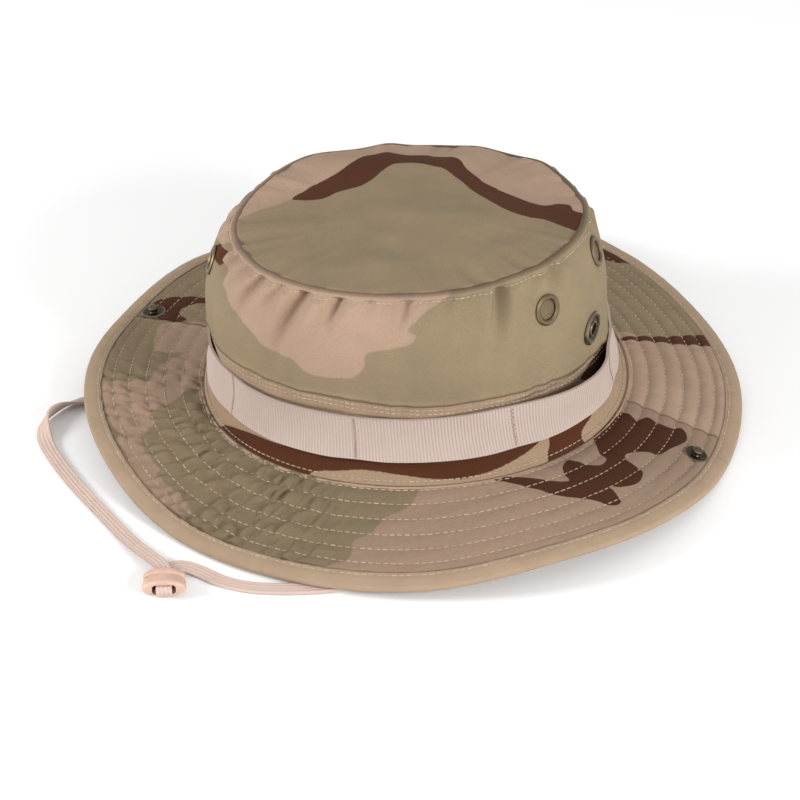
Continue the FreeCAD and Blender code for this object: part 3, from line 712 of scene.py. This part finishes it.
def lower_band(materials):
    """The strip under the wall, between the lower seam and the headline."""
    theta, share = np.meshgrid(BACK_SEAM + np.linspace(0, 360, 640, endpoint=False), np.linspace(0, 1, 40),
                               indexing="ij")
    level = mix(-0.012, band_top(theta) + SEAM_OVERLAP + 0.012, share)
    relief = wall_relief(theta, level) - 0.5 * smooth(-0.02, 0.0, level - band_top(theta) - SEAM_OVERLAP)
    foot = 0.8 * smooth(0.05, -0.012, level) - 0.35 * np.exp(-((level - 0.028) / 0.012) ** 2)
    outer = wall_point(theta, level, 0.35 + relief + foot)
    inner = wall_point(theta, level, -0.6 + relief + foot)
    uv = np.stack([np.radians(theta) * 90.0, level * 77.0], -1)
    paint = wall_paint(theta, level, BAND_BROWN, [[(0, 3), (1, 3), (0.5, 4)]])
    height = level * (top_height(theta) - headline_height(theta))
    rise = WEBBING_HEIGHT + WEBBING_RISE * bell(theta - WEBBING_LOOSE_AT, WEBBING_LOOSE_WIDTH)
    # Painted shade along the webbing's top edge and along the band's top, under the wall's overhanging edge.
    tape = np.minimum(np.abs(height - rise - WEBBING_WIDTH) + 0.2, (band_top(theta) + SEAM_OVERLAP - level) * 77.0)
    paint["crease"] = np.where(tape < 0, 4.0, tape)
    piece = shell("lower_band_cloth", inner, outer, materials["band"], uv, paint, closed=True)
    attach(piece, "hat")
    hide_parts("lower_band")
    return piece


def top_relief(x, y):
    radius = np.hypot(x, y)
    turn = np.degrees(np.arctan2(y, x)) % 360.0
    edge = np.clip((TOP_RADIUS - radius) / TOP_RADIUS, 0, 1)
    puckers = 0.6 * noise(turn / 2.4, radius / 14.0, 21, 150) * np.exp(-edge / 0.06)
    folds = -1.6 * smooth(0.15, 0.8, np.abs(noise(turn / 9.0, radius / 60.0, 22, 40))) * np.exp(-edge / 0.2)
    soft = 1.6 * noise(x / 30.0 + 40, y / 30.0 + 30, 23) + 0.6 * noise(x / 12.0 + 60, y / 12.0 + 30, 24)
    soft = soft + 2.4 * np.exp(-(((x + 40) / 26.0) ** 2 + ((y - 48) / 15.0) ** 2)) * smooth(0.0, 0.1, edge)
    crease = 0.9 * np.exp(-(((x + 62) * 0.83 - (y + 12) * 0.56) / 4.5) ** 2) * smooth(-38.0, -52.0, x)
    return puckers + folds * smooth(0.0, 0.03, edge) + soft * smooth(0.0, 0.3, edge) + crease


def crown_top(materials):
    """Round top panel; its edge turns down over the wall's."""
    theta, share = np.meshgrid(np.linspace(0, 360, 560, endpoint=False), np.linspace(0.004, 1, 88), indexing="ij")
    radius = (TOP_RADIUS - 0.2) * share ** 0.9
    x, y = radius * cosine(theta), radius * sine(theta)
    calm = smooth(TOP_RADIUS - 0.2, TOP_RADIUS - 2.6, radius)
    relief = top_relief(x, y) * calm
    turned = -1.3 * (1.0 - calm) ** 2
    outer = top_point(x, y, 0.55 + relief + turned)
    inner = top_point(x, y, -0.35 + relief + turned)
    uv = np.stack([x, y], -1)
    points = np.stack([x, y], -1)

    def plane(outline):
        return outline
    # Painted shade round the panel's edge at the top seam.
    paint = {"brown": printed(points, TOP_BROWN, plane), "pink": printed(points, TOP_PINK, plane),
             "crease": TOP_RADIUS - 0.5 - radius}
    piece = shell("crown_top_cloth", inner, outer, materials["crown"], uv, paint, closed=True, flip=True,
                  capped=True)
    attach(piece, "hat")
    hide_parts("crown_top")
    return piece


def crown_stitching(materials):
    """A row just under the top seam, a row near the headline and a double row just under the lower seam."""
    rows = []
    for level_at in (0.972,):
        def place(theta, aside, at=level_at):
            level = at + aside / 77.0
            return wall_point(theta, level, 0.78 + wall_relief(theta, level) + ridge(level))
        rows.append(stitch_row(place, BACK_SEAM, BACK_SEAM + 360, 76.0, 1.7, 0.7))

    def foot_place(theta, aside):
        level = 0.028 + aside / 77.0
        return wall_point(theta, level + 0.0 * theta, 0.5 + wall_relief(theta, level))
    rows.append(stitch_row(foot_place, 0.0, 360.0, 94.0, 2.0, 0.8))
    for down in (2.0, 3.9):
        def place(theta, aside, down=down):
            level = band_top(theta) + SEAM_OVERLAP - (down - aside) / 77.0
            lift = -0.5 * smooth(-0.02, 0.0, level - band_top(theta) - SEAM_OVERLAP)
            return wall_point(theta, level, 0.40 + wall_relief(theta, level) + lift)
        rows.append(stitch_row(place, BACK_SEAM, BACK_SEAM + 360, 88.0, 1.8, 0.7))
    starts, ends, ups = joined_rows(rows)
    piece = threads("crown_stitches", starts, ends, ups, materials["thread"], 0.20)
    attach(piece, "hat")


def headline_piping(materials):
    """Narrow rolled ridge that covers the seam between crown and brim."""
    theta, turn = np.meshgrid(np.linspace(0, 360, 900, endpoint=False), np.linspace(0, 330, 12), indexing="ij")
    radius = 0.72 + 0.08 * noise(theta % 360 / 1.3, turn * 0, 31, 276)
    middle = wall_point(theta, np.full_like(theta, 0.002), 1.4)
    out = np.stack([cosine(theta), sine(theta), 0 * theta], -1)
    points = middle + out * (radius * cosine(turn))[..., None]
    points[..., 2] += radius * sine(turn) + 0.35
    uv = np.stack([np.radians(theta) * 94.0, turn / 60.0], -1)
    faces = grid_faces(900, 12, closed=True)
    seam = np.arange(900)
    wrap = np.stack([seam * 12 + 11, ((seam + 1) % 900) * 12 + 11, ((seam + 1) % 900) * 12, seam * 12], -1)
    piece = make_object("headline_piping", points.reshape(-1, 3), np.concatenate([faces, wrap]),
                        materials["piping"], uv.reshape(-1, 2))
    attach(piece, "hat")


def inner_band(name, node, material, low_level, high_level, offsets, start, sweep):
    count = max(24, int(sweep * 1.2))
    closed = sweep >= 360.0
    theta, level = np.meshgrid(start + np.linspace(0, sweep, count, endpoint=not closed),
                               np.linspace(low_level, high_level, 24), indexing="ij")
    relief = 0.25 * noise(theta % 360 / 5.0, level * 9.0, 41, 72)
    inner = wall_point(theta, level, offsets[0] + relief)
    outer = wall_point(theta, level, offsets[1] + relief)
    uv = np.stack([np.radians(theta) * 90.0, level * 77.0], -1)
    piece = shell(name, inner, outer, material, uv, closed=closed)
    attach(piece, "hat")
    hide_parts(node)


# ---------------------------------------------------------------- webbing

def tack_angles():
    return TACK_FIRST + TACK_STEP * np.arange(TACK_COUNT)


def loop_share(theta):
    """0 at a bar tack and 1 half way along a loop."""
    nearest = np.min([np.abs((theta - t + 180) % 360 - 180) for t in tack_angles()], axis=0)
    return smooth(0.0, 9.0, nearest)


def webbing_lift(theta, height):
    swell = 0.8 * loop_share(theta) * (0.6 + 0.4 * (2 * height / WEBBING_WIDTH - 1) ** 2)
    return swell + 0.35 * noise(theta % 360 / 9.0, height / 12.0, 51, 40)


def webbing_band(materials):
    """Grosgrain webbing with real ribs across it and firmer selvedges."""
    columns = 2400
    theta, height = np.meshgrid(np.linspace(0, 360, columns, endpoint=False), np.linspace(0, WEBBING_WIDTH, 20),
                                indexing="ij")
    middle = np.abs(2 * height / WEBBING_WIDTH - 1)
    rib = 0.09 * np.cos(np.arange(columns) * (2 * math.pi / 6.0))[:, None] * (middle < 0.93)
    edge = 0.12 * smooth(0.88, 1.0, middle)
    wave = 0.35 * noise(theta % 360 / 14.0, height * 0, 52, 26) - 0.5 * (1 - loop_share(theta)) * (height > 12)
    lift = webbing_lift(theta, height)
    outer = webbing_point(theta, height + wave * height / WEBBING_WIDTH, 2.0 + lift + rib + edge)
    inner = webbing_point(theta, height + wave * height / WEBBING_WIDTH, 1.1 + lift - rib - edge)
    uv = np.stack([np.arange(columns)[:, None] / 6.0 + 0.0 * height, height], -1)
    piece = shell("webbing_strip", inner, outer, materials["webbing"], uv, closed=True)
    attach(piece, "hat")
    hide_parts("webbing_band")


def bar_tacks(materials):
    """Dense zigzag stitching down each bar tack."""
    starts, ends = [], []
    zigzags = 19
    for tack in tack_angles():
        heights = np.linspace(1.0, WEBBING_WIDTH - 1.0, zigzags)
        for k, height in enumerate(heights):
            half = 0.32 if k % 2 else -0.32
            a = np.array([tack - half, tack + half])
            h = np.array([height - 0.35, height + 0.35])
            points = webbing_point(a, h, 2.2 + webbing_lift(a, h))
            starts.append(points[0])
            ends.append(points[1])
    starts, ends = np.array(starts), np.array(ends)
    out = starts - HAT_CENTRE
    out[:, 2] = 0
    piece = threads("webbing_tack_stitches", starts, ends, out, materials["tack"], 0.20, 0.03)
    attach(piece, "hat")
    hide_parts("webbing_tacks")


# ---------------------------------------------------------------- brim

QUARTERS = {"front_left": (FRONT, 360.0 + LEFT_SEAM, "left"), "back_left": (LEFT_SEAM, BACK_SEAM, "left"),
            "back_right": (BACK_SEAM, RIGHT_SEAM, "right"), "front_right": (RIGHT_SEAM, FRONT, "right")}


def follow_fold(piece):
    """Bakes a piece of brim's placement into its own mesh."""
    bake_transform(piece)


def row_share(reach):
    """0 on each row of stitching and 1 half way to the next one; and which channel it is."""
    rows = np.array([-0.5] + BRIM_ROWS + [46.2])
    channel = np.clip(np.searchsorted(rows, reach) - 1, 0, len(rows) - 2)
    t = (reach - rows[channel]) / (rows[channel + 1] - rows[channel])
    return np.sin(np.pi * np.clip(t, 0, 1)) + 1e-6, channel


def brim_relief(theta, reach):
    """Cloth swelling between the rows of stitching, with puckers that are strongest at the right front."""
    swell, channel = row_share(reach)
    turn = theta % 360.0
    arc = np.radians(turn) * (HEADLINE_RADIUS + 24.0)
    puckered = 0.10 + 0.90 * smooth(192, 212, turn) * smooth(282, 258, turn)
    slant = 0.22 * reach + 0.5 * channel
    ridges = noise((arc + slant) / 2.7, reach / 11.0 + channel * 0.25, 61, 269)
    ridges = 1.5 * np.sign(ridges) * np.abs(ridges) ** 0.7
    broad = noise(arc / 8.0, reach / 14.0 + 0.6 * channel, 62, 92)
    rolls = 0.45 + 0.55 * smooth(318, 345, turn) + 0.55 * smooth(110, 60, turn) * (turn < 180)
    seam = seam_distance(theta, reach)
    swell = swell ** 0.7
    lift = rolls * swell + (0.4 + 0.6 * swell) * puckered * (1.35 * ridges + 0.5 * broad)
    lift = lift + 0.12 * swell * noise(arc / 5.0, reach / 6.0, 63, 147)
    edge = smooth(0.3, 3.0, reach) * smooth(47.5, 45.0, reach)
    return np.maximum(lift, -0.3) * edge - 0.45 * np.exp(-(seam / 0.4) ** 2) + 0.3 * np.exp(-((seam - 1.3) / 0.8) ** 2)


def seam_distance(theta, reach):
    """Distance in mm along the brim from the nearest of its radial seams."""
    away = [np.abs((theta - s + 180) % 360 - 180) * (HEADLINE_RADIUS + reach) / 57.3
            for s in (LEFT_SEAM, RIGHT_SEAM, BACK_SEAM)]
    return np.min(away, axis=0)


def brim_cloth(materials, quarter):
    start, end, side = QUARTERS[quarter]
    columns = int((end - start) * 4.3)
    theta, reach = np.meshgrid(np.linspace(start, end, columns), np.linspace(0.2, BRIM_WIDTH - 1.0, 96),
                               indexing="ij")
    relief = brim_relief(theta, reach)
    uv = np.stack([np.radians(theta) * (HEADLINE_RADIUS + reach), reach], -1)
    front = quarter.split("_")[0]
    for layer, low, high, turn in (("top", 0.35, 1.05, 0.0), ("under", -1.05, -0.35, UNDERSIDE_TURN)):
        sign = 1.0 if layer == "top" else -1.0
        lower = brim_point(theta, reach, low + sign * relief)
        upper = brim_point(theta, reach, high + sign * relief)
        paint = brim_paint(theta, reach, turn)
        swell = row_share(reach)[0]
        # Painted shade along the radial seams, the headline, the binding's inner edge and each row of stitching.
        seams = np.minimum(seam_distance(theta, reach), np.minimum(np.abs(45.6 - reach), reach))
        paint["crease"] = np.minimum(seams, 0.62 + 2.2 * swell)
        piece = shell(f"brim_{layer}_cloth_{quarter}", lower, upper, materials["brim"], uv, paint, flip=True)
        follow_fold(piece)
        nodes = [f"brim_{layer}_{front}", f"{side}_flap_{layer}_{front}"]
        if layer == "top":
            nodes += [f"brim_interlining_{front}", f"{side}_flap_interlining_{front}"]
        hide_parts(*nodes)


def binding_outline():
    """Section of the folded tape, as (reach, height) from its upper inner edge round the brim's edge."""
    width, thick = BINDING_WIDTH, 1.65
    start = BRIM_WIDTH - width
    top = [(start, 1.15), (start + 0.1, 1.55), (start + 0.7, 1.7), (start + 1.5, 1.55), (start + 2.6, 1.85),
           (start + 4.2, 1.95), (start + 5.4, thick)]
    nose = [(BRIM_WIDTH - 0.3 + 1.5 * math.sin(a), thick * math.cos(a)) for a in np.linspace(0.35, math.pi - 0.35, 9)]
    under = [(r, -h) for r, h in top[::-1]]
    return np.array(top + nose + under)


def brim_binding(materials, quarter):
    start, end, side = QUARTERS[quarter]
    section = binding_outline()
    columns = int((end - start) * 5)
    theta = np.linspace(start, end, columns)[:, None]
    arc = np.radians(theta % 360) * 145.0
    pucker = 0.14 * noise(arc / 2.6, section[None, :, 0] / 3.0, 71, 350)
    reach = section[None, :, 0] + 0 * theta
    puff = 1.0 + 0.05 * noise(arc / 21.0, section[None, :, 0] * 0, 72, 43)
    height = section[None, :, 1] * puff + np.sign(section[None, :, 1]) * pucker
    outside = brim_point(theta + 0 * reach, reach, height)
    inside = brim_point(theta + 0 * reach, reach - 0.5 * (reach > BRIM_WIDTH - 0.5), height * 0.72)
    length = np.cumsum(np.r_[0, np.linalg.norm(np.diff(section, axis=0), axis=1)])
    uv = np.stack([arc + 0 * reach, length[None] + 0 * theta], -1)
    piece = shell(f"brim_binding_tape_{quarter}", inside, outside, materials["binding"], uv, flip=True)
    follow_fold(piece)
    front = quarter.split("_")[0]
    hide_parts(f"brim_binding_{front}", f"{side}_flap_binding_{front}")


def brim_stitching(materials, quarter):
    start, end, side = QUARTERS[quarter]
    rows = []
    for sign, base in ((1.0, 1.10), (-1.0, -1.10)):
        for reach in BRIM_ROWS + [BINDING_ROW]:
            height = base if reach < BINDING_ROW else sign * 1.62

            def place(theta, aside, reach=reach, height=height, sign=sign):
                out = reach - sign * aside
                lift = brim_relief(theta, out + 0 * theta) if reach < BINDING_ROW else 0.0
                return brim_point(theta, out, height + sign * lift)
            rows.append(stitch_row(place, start, end, HEADLINE_RADIUS + reach))
    starts, ends, ups = joined_rows(rows)
    piece = threads(f"brim_stitches_{quarter}", starts, ends, ups, materials["thread"])
    follow_fold(piece)


# ---------------------------------------------------------------- metal, slider and cord

def finish_hardware(materials):
    """Gives the carried-over metal and plastic pieces their own finishes."""
    for name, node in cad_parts.items():
        if name.startswith(("vent_eyelet", "vent_washer")):
            node.data.materials.clear()
            node.data.materials.append(materials["brass"])
        if name.startswith("snap_"):
            node.data.materials.clear()
            node.data.materials.append(materials["gunmetal"])
        if name == "cord_slider":
            node.data.materials.clear()
            node.data.materials.append(materials["plastic"])


def vent_screen(materials, name):
    """Woven wire disc inside one eyelet."""
    low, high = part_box("vent_screen_" + name)
    centre = np.array((low + high) / 2) / MM
    middle = np.array([HAT_CENTRE[0] - 3.0, HAT_CENTRE[1] - 2.0, centre[2]])
    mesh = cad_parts["vent_screen_" + name].data
    normals = np.array([p.normal for p in mesh.polygons])
    areas = np.array([p.area for p in mesh.polygons])
    facing = normals[np.argmax(areas * (normals @ (centre - middle) > 0))]
    axis = facing / np.linalg.norm(facing)
    right = np.cross([0, 0, 1.0], axis)
    right /= np.linalg.norm(right)
    up = np.cross(axis, right)
    radius, pitch = 4.25, 0.53
    lines = np.arange(-7, 8) * pitch
    starts, ends = [], []
    for k, offset in enumerate(lines):
        half = math.sqrt(max(radius ** 2 - offset ** 2, 0.04))
        for a, b, lift in ((right, up, 0.07), (up, right, -0.07)):
            wire = centre + b * offset + axis * lift
            starts.append(wire - a * half)
            ends.append(wire + a * half)
    starts, ends = np.array(starts), np.array(ends)
    piece = threads("vent_mesh_" + name, starts, ends, np.tile(axis, (len(starts), 1)), materials["screen"],
                    0.19, 0.0)
    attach(piece, "hat")
    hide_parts("vent_screen_" + name)


def slider_point(along, height):
    turn = math.radians(SLIDER_TURN)
    return SLIDER_CENTRE + np.array([along * math.cos(turn), along * math.sin(turn), height])


def cord_route():
    through = [slider_point(STRAND_REAR, STRAND_RISE), slider_point(FOLD_REACH, STRAND_RISE),
               slider_point(FOLD_TIP, STRAND_RISE), slider_point(FOLD_TIP, -STRAND_RISE),
               slider_point(FOLD_REACH, -STRAND_RISE), slider_point(STRAND_REAR, -STRAND_RISE)]
    return RIGHT_ROUTE + through + LEFT_ROUTE


def smooth_line(points):
    """Points along the smooth curve that the route's points control."""
    curve = bpy.data.curves.new("cord_line", "CURVE")
    curve.dimensions = "3D"
    curve.resolution_u = 10
    spline = curve.splines.new("NURBS")
    spline.points.add(len(points) - 1)
    for point, place in zip(spline.points, points):
        point.co = (place[0] * MM, place[1] * MM, place[2] * MM, 1.0)
    spline.order_u = 3
    spline.use_endpoint_u = True
    holder = bpy.data.objects.new("cord_line", curve)
    bpy.context.scene.collection.objects.link(holder)
    bpy.context.view_layer.update()
    sampled = bpy.data.meshes.new_from_object(holder)
    line = np.array([v.co for v in sampled.vertices]) / MM
    bpy.data.objects.remove(holder)
    bpy.data.meshes.remove(sampled)
    return line


def strap_section():
    """Flat braid with four soft ribs along each face."""
    half, thick = 0.5 * CORD_WIDTH, 0.5 * CORD_THICKNESS
    across = np.linspace(-half + 0.25, half - 0.25, 25)
    ribs = thick * (0.62 + 0.38 * np.abs(np.sin(np.pi * 2.0 * (across / half))))
    top = [(a, r) for a, r in zip(across, ribs)]
    right = [(half, 0.25 * thick), (half, -0.25 * thick)]
    under = [(a, -r) for a, r in zip(across[::-1], ribs[::-1])]
    left = [(-half, -0.25 * thick), (-half, 0.25 * thick)]
    return np.array(top + right + under + left)


def chin_cord(materials):
    line = smooth_line(cord_route())
    ahead = np.gradient(line, axis=0)
    steps = np.linalg.norm(np.diff(line, axis=0), axis=1)
    run = np.r_[0, np.cumsum(steps)]
    ahead /= np.linalg.norm(ahead, axis=1, keepdims=True)
    side = np.cross([0, 0, 1.0], ahead)
    for k in range(1, len(side)):
        if np.dot(side[k], side[k - 1]) < 0:
            side[k] = -side[k]
    level = np.linalg.norm(side, axis=1, keepdims=True)
    bight = np.abs(run - run[np.argmin(np.linalg.norm(line - slider_point(FOLD_TIP, 0.0), axis=1))]) < 6.0
    turn = math.radians(SLIDER_TURN)
    across = np.array([-math.sin(turn), math.cos(turn), 0.0])
    side = np.where(level > 1e-6, side / np.maximum(level, 1e-9), across)
    reference = side[np.flatnonzero(bight)[0]]
    side[bight] = across * np.sign(np.dot(reference, across))
    after = np.flatnonzero(bight)[-1] + 1
    if np.dot(side[after], side[after - 1]) < 0:
        side[after:] = -side[after:]
    up = np.cross(ahead, side)
    roll = np.radians(72.0) * np.exp(-((run - 88.0) / 13.0) ** 2)
    rolled = side * np.cos(roll)[:, None] + up * np.sin(roll)[:, None]
    up = np.cross(ahead, rolled)
    line = line + np.array([0, 0, 1.0]) * (0.5 * CORD_WIDTH * np.sin(roll) * 0.86)[:, None]
    section = strap_section()
    points = (line[:, None] + rolled[:, None] * section[None, :, :1] + up[:, None] * section[None, :, 1:])
    count, ring = len(line), len(section)
    faces = grid_faces(count, ring)
    k = np.arange(count - 1)
    wrap = np.stack([k * ring + ring - 1, (k + 1) * ring + ring - 1, (k + 1) * ring, k * ring], -1)
    caps = [list(range(ring)), list(range((count - 1) * ring, count * ring))[::-1]]
    girth = np.cumsum(np.r_[0, np.linalg.norm(np.diff(section, axis=0), axis=1)])
    uv = np.stack([run[:, None] + 0 * girth[None], girth[None] + 0 * run[:, None]], -1).reshape(-1, 2)
    piece = make_object("chin_cord_strap", points.reshape(-1, 3), faces.tolist() + wrap.tolist() + caps,
                        materials["cord"], uv)
    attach(piece, "hat")
    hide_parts("chin_cord_right", "chin_cord_left", "chin_cord_fold")


def cord_anchor(materials, side):
    """Small folded tab that holds one end of the cord in the headline seam."""
    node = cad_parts["cord_anchor_" + side]
    corners = np.array([node.matrix_world @ v.co for v in node.data.vertices]) / MM
    centre = (corners.max(0) + corners.min(0)) / 2
    axes = np.linalg.svd(corners - centre, full_matrices=False)[2]
    half = np.abs((corners - centre) @ axes.T).max(0) * 0.94
    turn, rise = np.meshgrid(np.linspace(0, 360, 48, endpoint=False), np.linspace(-88, 88, 25), indexing="ij")

    def squared(value):
        return np.sign(value) * np.abs(value) ** 0.4
    local = np.stack([squared(cosine(rise)) * squared(cosine(turn)), squared(cosine(rise)) * squared(sine(turn)),
                      squared(sine(rise))], -1)
    local = local * (1.0 - 0.03 * np.abs(noise(turn / 15.0, rise / 15.0 + 20.0, 81, 24)))[..., None]
    points = centre + (local * half) @ axes
    uv = np.stack([turn / 20.0, rise / 20.0], -1).reshape(-1, 2)
    caps = [[k * 25 for k in range(48)], [k * 25 + 24 for k in range(48)][::-1]]
    faces = grid_faces(48, 25, closed=True).tolist() + caps
    piece = make_object("cord_anchor_tab_" + side, points.reshape(-1, 3), faces, materials["piping"], uv)
    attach(piece, "hat")
    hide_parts("cord_anchor_" + side)


# ---------------------------------------------------------------- scene

CAMERA_PLACE = Vector((0.34263, -0.86458, 0.62702))
CAMERA_AZIMUTH, CAMERA_ELEVATION, CAMERA_LENS = 22.0, 34.04, 112.58


def make_camera():
    data = bpy.data.cameras.new("camera")
    data.lens = CAMERA_LENS
    data.sensor_width = 36.0
    data.clip_start, data.clip_end = 0.05, 20.0
    camera = bpy.data.objects.new("camera", data)
    bpy.context.scene.collection.objects.link(camera)
    a, e = math.radians(CAMERA_AZIMUTH), math.radians(CAMERA_ELEVATION)
    back = Vector((math.sin(a) * math.cos(e), -math.cos(a) * math.cos(e), math.sin(e)))
    camera.location = CAMERA_PLACE
    camera.rotation_mode = "QUATERNION"
    camera.rotation_quaternion = (-back).to_track_quat("-Z", "Y")
    bpy.context.scene.camera = camera


def area_light(name, place, size, power, target=(0, 0, 0.04)):
    data = bpy.data.lights.new(name, "AREA")
    data.size = size
    data.energy = power
    light = bpy.data.objects.new(name, data)
    bpy.context.scene.collection.objects.link(light)
    light.location = place
    light.rotation_mode = "QUATERNION"
    light.rotation_quaternion = (Vector(target) - Vector(place)).to_track_quat("-Z", "Y")


def make_stage():
    """Pale floor, even sky and a soft lamp at each side."""
    mesh = bpy.data.meshes.new("floor")
    half = 6.0
    mesh.from_pydata([(-half, -half, 0), (half, -half, 0), (half, half, 0), (-half, half, 0)], [], [(0, 1, 2, 3)])
    floor = bpy.data.objects.new("floor", mesh)
    floor.location.z = -0.0002
    bpy.context.scene.collection.objects.link(floor)
    pale = Nodes("pale_floor", (0.93, 0.93, 0.93, 1.0), 0.9)
    pale.shader.inputs["Specular IOR Level"].default_value = 0.1
    mesh.materials.append(pale.material)
    world = bpy.data.worlds.new("studio")
    bpy.context.scene.world = world
    world.use_nodes = True
    sky = world.node_tree.nodes["Background"]
    sky.inputs["Color"].default_value = (1.0, 1.0, 1.0, 1.0)
    sky.inputs["Strength"].default_value = 0.68
    area_light("left_lamp", (-1.15, -0.75, 0.62), 0.45, 16.5)
    area_light("right_lamp", (1.25, -0.60, 0.62), 0.45, 18.5)
    bpy.context.scene.view_settings.view_transform = "Standard"


def main():
    make_camera()
    materials = make_materials()
    chin_cord(materials)
    crown_side(materials)
    lower_band(materials)
    crown_top(materials)
    crown_stitching(materials)
    headline_piping(materials)
    inner_band("sweatband_cloth", "sweatband", materials["lining"], 0.0, 0.36, (-2.2, -1.2),
               0.0, 360.0)
    inner_band("size_label_tab", "size_label", materials["label"], 0.08, 0.28, (-3.0, -2.5),
               80.0, 20.0)
    webbing_band(materials)
    bar_tacks(materials)
    for quarter in QUARTERS:
        brim_cloth(materials, quarter)
        brim_binding(materials, quarter)
        brim_stitching(materials, quarter)
    finish_hardware(materials)
    for name in ("left_front", "left_rear", "right_front", "right_rear"):
        vent_screen(materials, name)
    for side in ("left", "right"):
        cord_anchor(materials, side)
    make_stage()


main()
